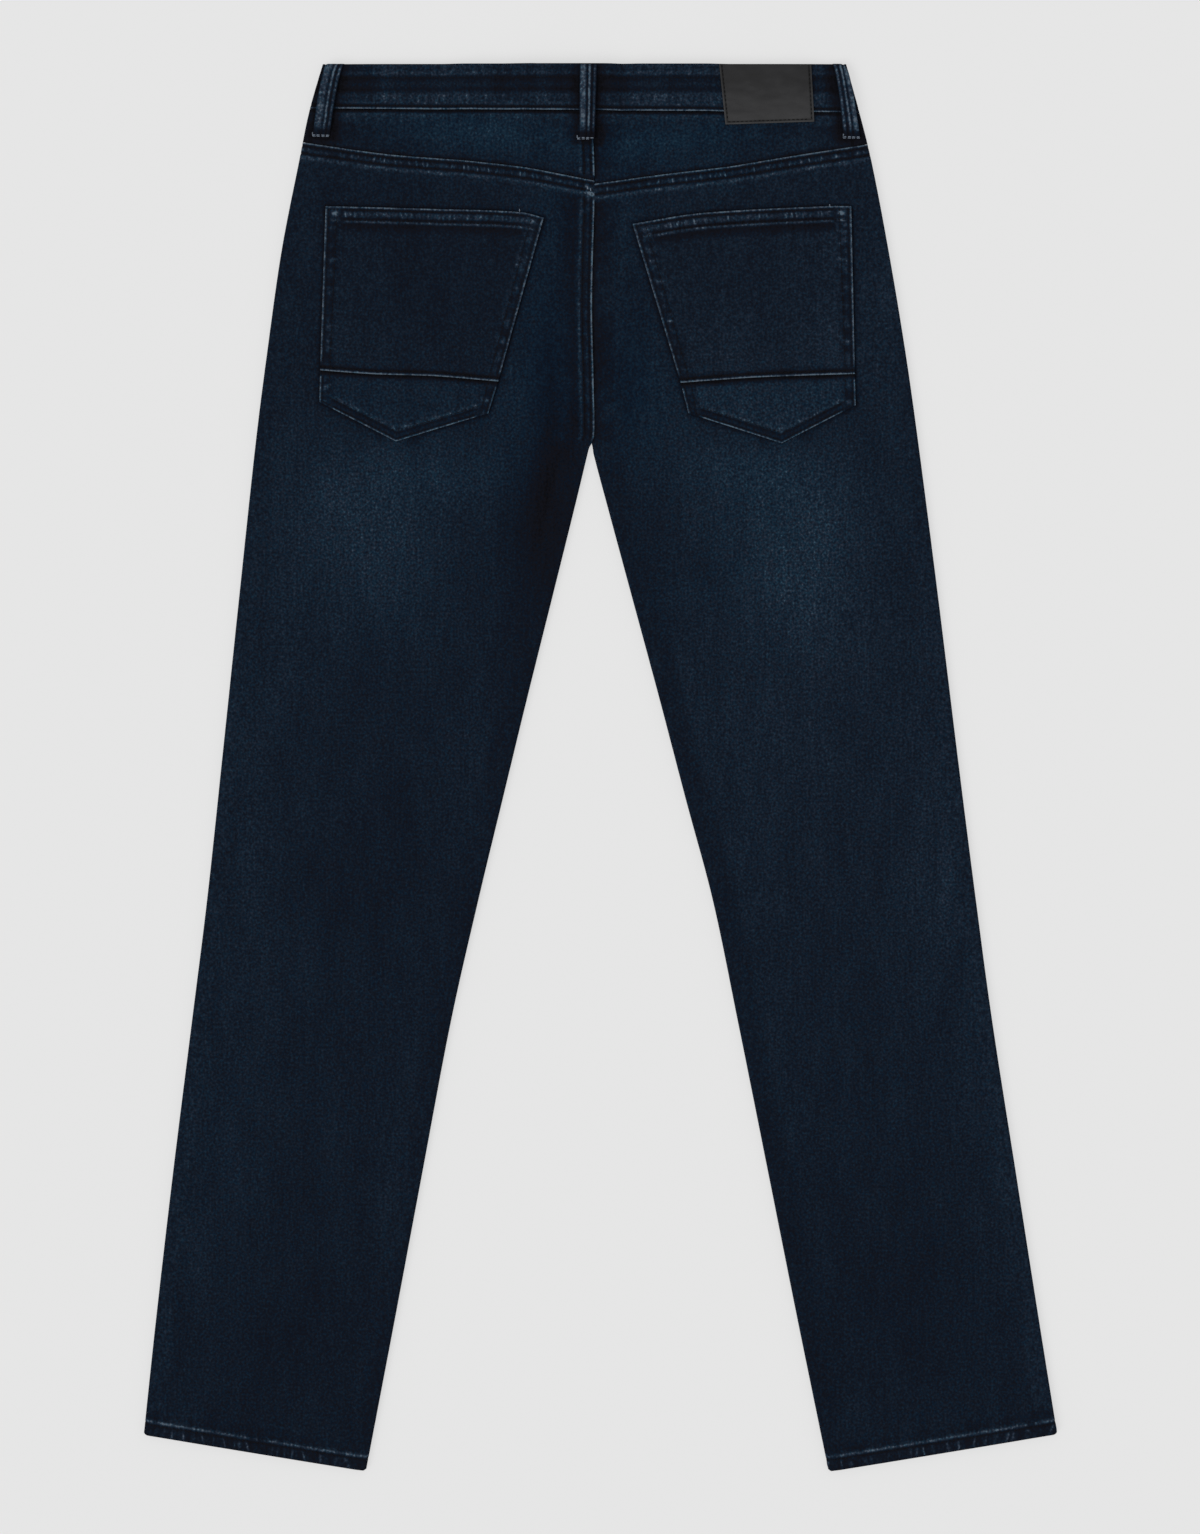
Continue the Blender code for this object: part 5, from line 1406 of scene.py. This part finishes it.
def paint_band(place, seed):
    paint = faded(place, seed)
    # the band's tones carry a painted highlight on the top fold and painted shade in its troughs
    own = at_marks(place.below_top / MM, WAISTBAND_TONES)
    cloudy = 0.16 * (uneven(place.x, seed, 0.012) - 0.5)
    paint.tone = own + 0.5 * (paint.tone - BASE_TONE) + cloudy
    paint.wash = 0.4 * paint.wash
    paint.relief = -groove(place.below_top, WAISTBAND_STITCHES[1])
    paint.relief = paint.relief - 0.00018 * hump(place.below_top - 0.022, 0.002)
    paint.seam(place.x, place.above_bottom, WAIST_FOOT_SEAM, 2)
    folds = puckers(place.x, place.below_top, seed + 1, 0.0080, 0.0040, 0.0095, 0.5)
    paint.relief = paint.relief + 0.00012 * folds
    worn = 0.04 * ease(0.020, 0.050, place.x) * fall(0.150, 0.200, place.x)
    paint.tone = paint.tone + 0.14 * folds + worn
    return paint


def make_waistband_back():
    def face(place):
        return settle(place, back_top(place.x, place.y) + BAND_CLOTH - CLOTH) - soften(place) + loft(place)

    def finish(place):
        paint = paint_band(place, 131)
        paint.shade_loops()
        return paint

    wall = lay_piece(
        (side_edge("left"), side_edge("right")),
        top=back_top_line,
        bottom=lambda x: waist_seam(x) + SEAM_GAP,
        levels=graded((0.05, 0.012), (0.86, 0.026), (1.0, 0.014)),
        sides=(SIDE_COLUMNS, SIDE_COLUMNS),
        middle=400,
        facing=UP,
        face=face,
        cloth=band_cloth,
        finish=finish,
    )
    return lay_sheet("waistband_back", wall, DENIM)


def in_buttonhole(x, y):
    half = BUTTONHOLE / 2
    return (abs(x - BUTTON_X) < half) & (abs(y - BUTTON_Y) < half)


def make_front_band(side):
    """A front stretch of the waistband. The left one, with the buttonhole, laps over the right."""
    is_over = side == "left"
    if is_over:
        end_x, inward = CLOSURE_X - SEAM_GAP / 2, -1
        hole_start, hole_end = BUTTON_SETBACK - BUTTONHOLE / 2, BUTTON_SETBACK + BUTTONHOLE / 2
        end_columns = graded((hole_start, 0.0020), (hole_end, 0.0011), (0.046, 0.0025))
    else:
        end_x, inward = CLOSURE_X - BAND_UNDERLAP, 1
        lap_end = BAND_UNDERLAP + SEAM_GAP
        end_columns = graded((lap_end, 0.0025), (lap_end + UNDERLAP_RAMP, 0.0025))

    def face(place):
        height = front_lift(place.x, place.y)
        if is_over:
            return height
        past_left_end = place.from_b - BAND_UNDERLAP - SEAM_GAP
        return height + BAND_UNDERLAP_LIFT * (1.0 - np.clip(past_left_end / UNDERLAP_RAMP, 0.0, 1.0))

    def finish(place):
        paint = paint_band(place, 141 if is_over else 151)
        paint.relief = np.minimum(paint.relief, 0.0)
        return paint

    half = BUTTONHOLE / 2 / float(WAIST_Y - waist_seam(BUTTON_X))
    wall = lay_piece(
        (side_edge(side), Edge(lambda y: 0.0 * y + end_x, inward, flat)),
        top=front_top_line,
        bottom=lambda x: front_waist_seam(x) + SEAM_GAP,
        levels=graded((0.05, 0.017), (0.5 - half, 0.035), (0.5 + half, 0.028), (0.9, 0.035), (1.0, 0.02)),
        sides=(columns(graded((0.030, 0.0030))[1:], ROLLED), columns(end_columns)),
        middle=54,
        facing=DOWN,
        face=face,
        cloth=band_cloth,
        finish=finish,
    )
    opening = in_buttonhole if is_over else None
    return lay_sheet(f"waistband_front_{side}", wall, DENIM, opening=opening)


# ---- Things that lie on the back -------------------------------------------------------------
def band_backing(x, y):
    """What a loop or the patch lies on, from the waistband down over its lower edge."""
    on_band = ease(waist_seam(x) - BACKING_SLOPE, waist_seam(x) - BACKING_SLOPE_END, y)
    return ply_face(x, y, (BAND_CLOTH - CLOTH) * on_band)


def centre_backing(x, y):
    return ply_face(x, y, SEAM_RAISE)


def make_loop(loop, backing, facing, look):
    """A belt loop: a strip sewn down at both ends."""
    is_back = 1.0 if facing == UP else 0.0
    level = graded((0.06, 0.012), (0.84, 0.026), (1.0, 0.010))[:, None]
    share = np.linspace(0.0, 1.0, 27)[None, :]
    width = mix(loop.top_width, loop.bottom_width, level)
    x = loop_middle(loop, level) + width * (share - 0.5)
    top = loop.top.y + is_back * (back_top_line(x) - BACK_TOP_Y)
    y = mix(top, loop.bottom.y, level)
    arch = is_back * LOOP_ARCH * np.sin(pi * level)
    under = backing(x, y) + facing * (SEAM_GAP + arch)
    seed = 161 + len(loop.name)
    ribs = is_back * 0.00012 * puckers(y, share * width, seed, 0.006, 0.002, 0.013)
    drop = EDGE_SOFTENING * fall(0.0, 0.02, np.minimum(level, 1.0 - level))
    drop = drop + at_marks(share, LOOP_BELOW) + 0.0004 * hump(level - 0.93, 0.02)
    seed += 10
    worn = 0.30 * (uneven(y, seed, 0.0030) - 0.5) + 0.24 * (uneven(y, seed + 1, 0.0110) - 0.5)
    # the dip near the loop's foot is painted shade above the bar tack
    tone = at_marks(share, look) * at_marks(level, LOOP_DOWN) * (1.0 + worn)
    outer = under + facing * (LOOP_CLOTH - drop + ribs)
    # the loop's underside and walls take the painted edge shade
    piece = strip(loop.name, x, y, under, outer, tone, DENIM, facing, EDGE_SHADE_TONE)
    return piece


def make_front_loop(name, x):
    top_y = float(front_top_line(x))
    loop = Loop(name, Spot(x, top_y - SEAM_GAP), Spot(x, top_y - LOOP_LENGTH), LOOP_WIDTH, LOOP_WIDTH, 0.0)
    make_loop(loop, lambda x, _y: 0.0 * x + LOOP_CLOTH + SEAM_GAP, DOWN, LOOP_TONES[CENTRE_LOOP.name])


def pocket_wall(upper, lower, width, shares, levels, raise_at, finish):
    """A pocket piece between two lines, on the back."""
    share = shares[None, :] + 0.0 * levels[:, None]
    high, low = upper(share), lower(share)
    x = mix(high.x, low.x, levels[:, None])
    y = mix(high.y, low.y, levels[:, None])
    place = Place(x, y, share * width, (1.0 - share) * width, high.y - y, y - low.y, 0.0, 0.0)
    paint = finish(place)
    under = ply_face(x, y) + SEAM_GAP
    outer = under + CLOTH + raise_at(place) + paint.relief
    turn = 1 if high.x[0, -1] > high.x[0, 0] else -1
    return Wall(grid(x, y, outer), grid(x, y, under), paint.tone, paint.wash, turn)


def raised_edge(depth, distance):
    """1 within a depth of an edge, and 0 past it."""
    return fall(depth, depth + SEAM_STEP, distance)


def from_sides(place):
    return np.minimum(place.from_a, place.from_b)


def paint_pocket_sides(paint, below_mouth):
    """Both side seams of a pocket, with the pale dots that the puckers are worn to."""
    run = paint.place.y
    for number, away in ((3, paint.place.from_a), (23, paint.place.from_b)):
        paint.seam(run, away, POCKET_SIDE_SEAM, number)
        dots = np.maximum(puckers(run, away, paint.seed + number + 2, 0.0080, 0.0034, 0.0100, thin=0.8), 0.0)
        paint.tone = paint.tone + (0.34 + 0.20 * fall(0.030, 0.120, below_mouth)) * dots
    paint.tone = paint.tone + 0.08 * hump(paint.place.from_a, 0.001)


# the two worn knots in each mouth corner: how far below the mouth, size and tone
MOUTH_KNOTS = ((0.0056, 0.0024, 0.95), (0.0112, 0.0013, 0.75))


def paint_mouth(paint):
    """The mouth's hem over the side seams, with its dark corners."""
    place = paint.place
    paint.seam(place.x, place.below_top, POCKET_MOUTH_SEAM, 0)
    mouth_tone = paint.tone
    paint_pocket_sides(paint, place.below_top)
    at_mouth = fall(0.0125, 0.0145, place.below_top)
    on_band = at_mouth * ease(0.0110, 0.0135, from_sides(place))
    tone = mix(paint.tone, mouth_tone, on_band)
    tone = np.where(place.below_top < 0.0012, np.maximum(tone, mouth_tone), tone)
    corner = at_mouth * ease(0.0012, 0.0022, place.below_top) * (1.0 - on_band)
    paint.tone = mix(tone, 0.22, 0.75 * corner * ease(0.0010, 0.0020, from_sides(place)))


def paint_knots(paint):
    place = paint.place
    is_inner = 1.0 * (place.from_b < place.from_a)
    across = (from_sides(place) - 0.0064 - 0.0010 * is_inner) / (0.0028 + 0.0014 * is_inner)
    for depth, size, light in MOUTH_KNOTS:
        knot = np.exp(-(across**2)) * hump(place.below_top - depth, size)
        paint.tone = paint.tone + (1.0 - 0.4 * is_inner) * light * knot


def make_pocket(side):
    """A back pocket, cut in two: an upper piece with a hemmed mouth, and a pointed lower one."""
    pocket = POCKETS[side]
    mouth, seam, foot, tip_share, width = pocket_shape(pocket)
    edge = graded((0.0105 / width, 0.0009 / width))
    inside = np.linspace(edge[-1], 1.0 - edge[-1], 120)[1:-1]
    shares = np.concatenate([edge, inside, (1.0 - edge)[::-1]])

    def upper_raise(place):
        hem = raised_edge(POCKET_HEM, place.below_top)
        lap = raised_edge(POCKET_LAP, place.above_bottom)
        margin = raised_edge(POCKET_MARGIN, from_sides(place))
        return MARGIN_RAISE * np.maximum(np.maximum(margin, hem), lap)

    def upper_finish(place):
        paint = Paint(place, pocket.seed, pocket.upper_tone, pocket.wash)
        paint.tone += 0.05 * ease(0.05, 0.13, place.below_top) + 0.08 * hump(place.from_a, 0.034)
        paint_mouth(paint)
        paint.seam(place.x, place.above_bottom, POCKET_CROSS_SEAM, 9)
        paint_knots(paint)
        return paint

    def lower_raise(place):
        return MARGIN_RAISE * raised_edge(POCKET_MARGIN, np.minimum(from_sides(place), place.above_bottom))

    def lower_finish(place):
        paint = Paint(place, pocket.seed, pocket.lower_tone, 0.30)
        paint.seam(place.x, place.above_bottom, POCKET_FOOT_SEAM, 11)
        paint_pocket_sides(paint, place.below_top + 0.14)
        # painted shadow under the cross seam's lap
        paint.blend(place.x, place.below_top, BELOW_POCKET_SEAM_TONES, 12)
        return paint

    def below_seam(share):
        return Spot(seam(share).x, seam(share).y - SEAM_GAP)

    def sew_on(name, wall):
        # the pocket's underside and walls take the painted edge shade
        return lay_sheet(name, wall, POCKET_DENIM, EDGE_SHADE_TONE)

    length = abs(pocket.mouth[0][1] - pocket.seam[0][1])
    down = graded((0.0150, 0.0009), (length - 0.006, 0.0026), (length, 0.0006)) / length
    wall = pocket_wall(mouth, seam, width, shares, down, upper_raise, upper_finish)
    upper = sew_on(f"pocket_{side}_upper", wall)
    shares = np.unique(np.append(shares, tip_share))
    down = graded((0.10, 0.030), (0.60, 0.045), (1.0, 0.020))
    wall = pocket_wall(below_seam, foot, width, shares, down, lower_raise, lower_finish)
    return upper, sew_on(f"pocket_{side}_lower", wall)


def make_patch():
    """A bare leather patch, stitched round and hanging a little over the waistband."""
    level = graded((0.06, 0.012), (0.92, 0.030), (1.0, 0.012))[:, None]
    share = graded((0.05, 0.008), (0.95, 0.020), (1.0, 0.008))[None, :]
    left, right = (between(*corners, level) for corners in PATCH_SIDES)
    x, y = between(left, right, share)
    (top_left, bottom_left), (top_right, _) = PATCH_SIDES
    from_side = np.minimum(share, 1.0 - share) * (top_right.x - top_left.x)
    height = top_left.y - bottom_left.y
    nearest = np.minimum(from_side, (1.0 - level) * height)
    under = band_backing(x, y) + PATCH_GAP
    rounding = 0.0003 * fall(0.0, 0.0010, np.minimum(nearest, level * height))
    outer = under + LEATHER - rounding - 1.4 * groove(nearest, PATCH_STITCH)
    # the rise from 0.44 to 0.68 down the patch is painted shading of its curve
    tone = mix(0.44, 0.68, ease(0.25, 0.75, level)) - 0.50 * hump(nearest - PATCH_STITCH, 0.0006)
    tone = tone + 0.14 * fall(0.0006, 0.0014, nearest)
    piece = strip("patch", x, y, under, outer, tone, LEATHER_SKIN, reverse=0.2)
    return piece


# ---- Zip and button --------------------------------------------------------------------------
ZIP_BOTTOM = CLOTH + SEAM_GAP
ZIP_FACE = ZIP_BOTTOM + ZIP_TAPE + CHAIN_RAISE
ZIP_X = CLOSURE_X - UNDERLAP - SEAM_GAP - ZIP_WIDTH / 2 - ZIP_CLEAR
ZIP_WAIST_Y = float(front_waist_seam(ZIP_X))
BOX_CORNERS = np.array([(a, b, c) for a in (-0.5, 0.5) for b in (-0.5, 0.5) for c in (-0.5, 0.5)])
BOX_SIDES = np.array([(0, 1, 3, 2), (4, 6, 7, 5), (0, 4, 5, 1), (2, 3, 7, 6), (0, 2, 6, 4), (1, 5, 7, 3)])


def zip_lift(y):
    return front_lift(ZIP_X, y, BACK_LIFT_SPARE)


def make_teeth(bottom_y, top_y):
    y = np.arange(bottom_y + TEETH_END, top_y - SLIDER_TOP_CLEAR - TEETH_END, TOOTH_PITCH / 2)
    x = ZIP_X + np.where(np.arange(len(y)) % 2, TOOTH_SHIFT, -TOOTH_SHIFT)
    centres = grid(x, y, ZIP_FACE + zip_lift(y))
    points = centres[:, None, :] + BOX_CORNERS * TOOTH
    quads = np.arange(len(y))[:, None, None] * len(BOX_CORNERS) + BOX_SIDES
    return add_mesh("zip_teeth", points.reshape(-1, 3), quads.reshape(-1, 4), BRASS)


def make_zip():
    top_y = ZIP_WAIST_Y - ZIP_TOP_CLEAR
    bottom_y = FLY_FOOT_Y + 2 * FLY_FADE
    half, chain = ZIP_WIDTH / 2, CHAIN_WIDTH / 2
    tape = np.linspace(chain + CHAIN_SLOPE, half, 8)
    offsets = np.concatenate([-tape[::-1], [-chain, 0.0, chain], tape])
    raised = CHAIN_RAISE * (abs(offsets) <= chain)
    y = np.linspace(top_y, bottom_y, 60)[:, None] + 0.0 * offsets
    x = ZIP_X + offsets + 0.0 * y
    under = ZIP_BOTTOM + zip_lift(y)
    piece = strip("zip", x, y, under, under + ZIP_TAPE + raised, 0.3, ZIP_WEAVE)
    teeth = make_teeth(bottom_y, top_y)


# down the slider and its pull: share of its length, and of its width
SLIDER_WIDTHS = ((0.00, 0.70), (0.12, 1.00), (0.36, 0.90), (0.44, 0.45), (0.90, 0.55), (1.00, 0.35))


def make_zip_slider():
    down = np.linspace(0.0, 1.0, 40)[:, None]
    share = np.linspace(-0.5, 0.5, 11)[None, :]
    y = ZIP_WAIST_Y - SLIDER_TOP_CLEAR - SLIDER_LENGTH * down + 0.0 * share
    x = ZIP_X + share * at_marks(down, SLIDER_WIDTHS) * SLIDER_WIDTH
    under = ZIP_FACE + SEAM_GAP + zip_lift(y)
    dish = 0.00025 * (2 * abs(share)) ** 4 + 0.0003 * hump(down - 0.40, 0.03)
    strip("zip_slider", x, y, under, under + SLIDER_THICKNESS - dish, 0.3, BRASS)


# out over the button's face: share of its radius, and height
BUTTON_RINGS = (
    (0.00, 0.00035), (0.30, 0.00030), (0.34, 0.00050), (0.62, 0.00050), (0.66, 0.00020),
    (0.80, 0.00000), (0.90, 0.00010), (0.97, 0.00040), (1.00, 0.00080), (0.99, 0.00120),
    (0.95, BUTTON_FACE),
)
BUTTON_SIDES = 48


def make_button():
    """A turned tack button with a plain ringed face, face down on the floor."""
    shank_top = BAND_UNDERLAP_LIFT + float(front_lift(BUTTON_X, BUTTON_Y)) - SEAM_GAP
    profile = [(BUTTON_RADIUS * share, height) for share, height in BUTTON_RINGS]
    profile += [(SHANK_RADIUS * 1.1, BUTTON_FACE), (SHANK_RADIUS, BUTTON_FACE + 0.0003)]
    profile += [(SHANK_RADIUS, shank_top), (0.0, shank_top)]
    radius, height = np.array(profile).T[:, :, None]
    radius = np.maximum(radius, 1e-5)
    angle = np.linspace(0.0, 2 * pi, BUTTON_SIDES, endpoint=False)
    x, y = BUTTON_X + radius * np.cos(angle), BUTTON_Y + radius * np.sin(angle)
    quads = ring_quads(*x.shape)[:, [0, 3, 2, 1]]
    piece = add_mesh("button_brass", grid(x, y, height + 0.0 * angle).reshape(-1, 3), quads, BRASS)
    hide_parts("button")


# ---- Threads ---------------------------------------------------------------------------------
# along one stitch: share of its length, height and radius in thread radii
STITCH_RINGS = np.array(
    ((0.0, -0.9, 0.6), (0.2, 0.35, 1.0), (0.5, 0.75, 1.05), (0.8, 0.35, 1.0), (1.0, -0.9, 0.6))
)
RING_SIDES = 6


def ring_quads(rings, sides):
    """Quads of a tube of rings."""
    index = np.arange(rings * sides).reshape(rings, sides)
    after = np.roll(index, -1, axis=1)
    return np.stack([index[:-1], after[:-1], after[1:], index[1:]], -1).reshape(-1, 4)


def surface_under(pieces):
    """One search tree over the faces that threads are laid on."""
    points, quads = [], []
    for piece in pieces:
        start = len(points)
        points += [vertex.co.copy() for vertex in piece.data.vertices]
        quads += [[corner + start for corner in face.vertices] for face in piece.data.polygons]
    return BVHTree.FromPolygons(points, quads)


def height_on(tree, x, y, facing):
    hit = tree.ray_cast(Vector((x, y, 0.1 * facing)), Vector((0.0, 0.0, -facing)))[0]
    return hit.z if hit is not None else None


def sew(name, lines, pieces, stuff, seed, facing=UP, thread=SEAM_THREAD):
    """Rows of short threads along lines of (x, y) points, pulled into the cloth at both ends."""
    tree = surface_under(pieces)
    draw = np.random.default_rng(seed)
    shares, heights, radii = STITCH_RINGS.T
    stitches = []
    for line in lines:
        line = np.array(line)
        run = np.append(0.0, np.cumsum(np.hypot(*np.diff(line, axis=0).T)))
        for start in np.arange(0.0, run[-1] - thread.length, thread.pitch):
            at = start + draw.uniform(-0.06, 0.06) * thread.pitch + thread.length * shares
            x, y = np.interp(at, run, line[:, 0]), np.interp(at, run, line[:, 1])
            z = [height_on(tree, *spot, facing) for spot in zip(x, y)]
            if None not in z:
                stitches.append(grid(x, y, np.array(z) + facing * thread.radius * heights))
    stitches = np.array(stitches)
    heading = stitches[:, -1] - stitches[:, 0]
    heading[:, 2] = 0.0
    heading /= np.linalg.norm(heading, axis=1, keepdims=True)
    across = grid(-heading[:, 1], heading[:, 0], heading[:, 2])
    angle = (np.arange(RING_SIDES) * 2 * pi / RING_SIDES)[:, None]
    out = across[:, None, None, :] * np.cos(angle) + np.array([0.0, 0.0, 1.0]) * np.sin(angle)
    points = stitches[:, :, None, :] + thread.radius * radii[:, None, None] * out
    per_stitch = len(shares) * RING_SIDES
    quads = np.arange(len(stitches))[:, None, None] * per_stitch + ring_quads(len(shares), RING_SIDES)
    return add_mesh(name, points.reshape(-1, 3), quads.reshape(-1, 4), stuff)


def line_by(function, start, end, count=120):
    """Points (x, y) of a function from start to end."""
    return np.column_stack(np.broadcast_arrays(*function(np.linspace(start, end, count))))


def inset(points, distance):
    """A line moved to its left by a distance."""
    heading = np.gradient(points, axis=0)
    heading /= np.linalg.norm(heading, axis=1, keepdims=True)
    return points + distance * np.stack([-heading[:, 1], heading[:, 0]], -1)


def hem_stitches(side):
    hem, away = HEMS[side], AWAY[side] * 0.002
    return line_by(lambda x: (x, hem_line(side, x) + HEM_STITCH), hem.side.x - away, hem.inseam.x + away)


def back_lines():
    lines = []
    for side in SIDES:
        outer, inner = side_seam[side](0.50) - AWAY[side] * 0.0015, centre_back(0.48) + AWAY[side] * 0.001
        for stitch in YOKE_SEAM.stitches:
            lines.append(line_by(lambda x: (x, yoke_seam[side](x) - stitch), outer, inner))
        lines.append(hem_stitches(side))
    for stitch in CENTRE_STITCHES:
        lines.append(line_by(lambda y: (centre_back(y) - stitch, y), 0.516, CROTCH_Y + 0.006))
    return lines


def band_lines(foot_line, head_line, head_inset):
    """The stitches along the waistband's lower and upper edges."""
    foot, head = WAISTBAND_STITCHES
    left, right = side_seam["left"](0.55) + 0.004, side_seam["right"](0.55) - 0.004
    return [
        line_by(lambda x: (x, foot_line(x) + SEAM_GAP + foot), left, right),
        line_by(lambda x: (x, head_line(x) - head), left + head_inset, right - head_inset),
    ]


def pocket_lines(side):
    pocket = POCKETS[side]
    mouth, seam, foot, _, width = pocket_shape(pocket)
    lines = []
    for stitch in POCKET_MOUTH_SEAM.stitches:
        lines.append(line_by(lambda s: (mouth(s).x, mouth(s).y - stitch), 0.012, 0.988))
    for stitch in POCKET_CROSS_SEAM.stitches:
        lines.append(line_by(lambda s: (seam(s).x, seam(s).y + stitch), 0.010, 0.990))
    for stitch in POCKET_SIDE_SEAM.stitches:
        share = stitch / width
        for at in (share, 1.0 - share):
            start = between(mouth(at), seam(at), 0.012)
            end = between(seam(at), foot(at), 1.0 - stitch / 0.03)
            lines.append([start, seam(at), end])
        for at in (share * 1.1, 1.0 - share * 1.1):
            end = foot(at)
            lines.append([(end.x, end.y + stitch * 1.03), (pocket.tip.x, pocket.tip.y + stitch * 1.08)])
    return lines


def patch_lines():
    spots = []
    for (top, bottom), inward in zip(PATCH_SIDES, (PATCH_STITCH, -PATCH_STITCH)):
        start = between(top, bottom, 0.015)
        spots.append(((start.x + inward, start.y), (bottom.x + inward, bottom.y + PATCH_STITCH)))
    left, right = spots
    return [left, (left[1], right[1]), right[::-1]]


def front_lines():
    lines = []
    for side in SIDES:
        away = AWAY[side]
        lines.append(hem_stitches(side))
        start = side_seam[side](WAIST_Y) - away * 0.004
        end = side_seam[side](WAIST_Y) - away * (SCOOP_WIDTH - 0.001)
        mouth = line_by(lambda x: (x, front_pocket_mouth(side, x)), start, end, 200)
        lines += [inset(mouth, away * stitch) for stitch in SCOOP_SEAM.stitches]
    turn_y = FLY_FOOT_Y + FLY_WIDTH
    for stitch in FLY_STITCHES:
        width = FLY_WIDTH - stitch
        top = front_waist_seam(CLOSURE_X) - 0.003
        straight = line_by(lambda y: (centre_front(y) - width, y), top, turn_y, 60)
        centre = centre_front(FLY_FOOT_Y)
        curve = line_by(
            lambda a: (centre - width * np.cos(a), turn_y - width * np.sin(a)), 0.0, pi / 2 - 0.05, 40
        )
        lines.append(np.vstack([straight, curve]))
    return lines


TACK_HALF = 0.0074
TACK_ROWS = (-0.0001, 0.0006)
TACK_SLANT = 0.0002
TACK_TICK = 0.0034
TACK_TICK_INSET = 0.0004
CENTRE_TACK_SHIFT = -0.0010
# x, y and height of the bars at the pockets' inner mouth corners and where yoke and centre seams cross
CORNER_TACKS = (
    (-0.0661, 0.4583, 0.0057), (0.1884, 0.4622, 0.0036), (-0.0104, 0.4768, 0.0060), (-0.0078, 0.4752, 0.0050),
)
CORNER_TACK_SLANT = 0.0004


def loop_tacks(loop):
    """The pale bar tack across a loop's foot, rows of thread side by side, with a tick up its left end."""
    x, y = loop.bottom.x + (CENTRE_TACK_SHIFT if loop is CENTRE_LOOP else 0.0), loop.bottom.y
    left, right = x - TACK_HALF, x + TACK_HALF
    rows = [[(left, y + row), (right, y + row - TACK_SLANT)] for row in TACK_ROWS]
    tick_x = left + TACK_TICK_INSET
    return rows + [[(tick_x, y + TACK_TICK), (tick_x, y)]]


# ---- Stage -----------------------------------------------------------------------------------
PHOTO_SCALE = 0.8214e-3  # metres for one pixel of the 1200 x 1534 photograph
PHOTO_HEIGHT = 1534
LENS = 90.0
SENSOR = 36.0
GARMENT_HEIGHT = 0.003  # the outline is seen at this height
SKY = 0.72
KEY = 0.28
KEY_TILT = radians(48.0)
KEY_TURN = radians(-52.0)
KEY_WIDTH = radians(35.0)
FLOOR_SIZE = 60.0
FLOOR_Z = -0.0005  # just under the front's stitches


def make_camera():
    camera = bpy.data.cameras.new("camera")
    camera.lens = LENS
    camera.sensor_width = SENSOR
    camera.clip_end = 20.0
    holder = add_object("camera", camera)
    holder.location = (0.0, 0.0, PHOTO_SCALE * PHOTO_HEIGHT * LENS / SENSOR + GARMENT_HEIGHT)
    bpy.context.scene.camera = holder


def make_light():
    world = bpy.data.worlds.new("studio")
    world.use_nodes = True
    background = world.node_tree.nodes["Background"]
    background.inputs["Color"].default_value = WHITE
    background.inputs["Strength"].default_value = SKY
    bpy.context.scene.world = world
    key = bpy.data.lights.new("key", "SUN")
    key.angle = KEY_WIDTH
    key.energy = KEY * pi / cos(KEY_TILT)
    add_object("key", key).rotation_euler = (KEY_TILT, 0.0, KEY_TURN)
    bpy.context.scene.view_settings.view_transform = "Standard"


def make_stage():
    mesh = bpy.data.meshes.new("floor")
    corners = [(x * FLOOR_SIZE, y * FLOOR_SIZE, FLOOR_Z) for x, y in ((-1, -1), (1, -1), (1, 1), (-1, 1))]
    mesh.from_pydata(corners, [], [(0, 1, 2, 3)])
    mesh.materials.append(make_floor())
    add_object("floor", mesh)


# ---- Build -----------------------------------------------------------------------------------
make_camera()
make_light()
make_stage()

backs = [make(side) for make in (make_back, make_yoke) for side in SIDES]
fronts = [make_front(side) for side in SIDES]
pockets = []
for side in SIDES:
    make_pocket_facing(side)
    pockets.append(make_pocket(side))
backs.append(make_waistband_back())
fronts += [make_front_band(side) for side in SIDES]
loops = []
for loop in BACK_LOOPS:
    backing = centre_backing if loop is CENTRE_LOOP else band_backing
    loops.append(make_loop(loop, backing, UP, LOOP_TONES[loop.name]))
for side, x in zip(SIDES, FRONT_LOOP_XS):
    make_front_loop(f"belt_loop_front_{side}", x)
patch = make_patch()
make_zip()
make_zip_slider()
make_button()

sew("stitches_back", back_lines(), backs, (dark_thread, "denim"), 5)
waistband_lines = band_lines(waist_seam, lambda x: BACK_TOP_Y, 0.004)
sew("stitches_waistband", waistband_lines, backs, (dark_thread, "denim"), 6)
pocket_pieces = [piece for pocket in pockets for piece in pocket]
both_pockets = pocket_lines("left") + pocket_lines("right")
sew("stitches_pockets", both_pockets, pocket_pieces, (dark_thread, "denim_dark"), 7)
sew("stitches_patch", patch_lines(), [patch], (dark_thread, "leather"), 8, thread=PATCH_THREAD)
all_front_lines = front_lines() + band_lines(front_waist_seam, front_top_line, 0.0)
sew("stitches_front", all_front_lines, fronts, (dark_thread, "denim"), 9, DOWN)
tacks = [line for loop in BACK_LOOPS for line in loop_tacks(loop)]
tacks += [[(x, y), (x + CORNER_TACK_SLANT, y - height)] for x, y, height in CORNER_TACKS]
under_tacks = loops + backs + [upper for upper, _ in pockets]
sew("bar_tacks", tacks, under_tacks, (pale_thread, "denim"), 10, thread=TACK_THREAD)
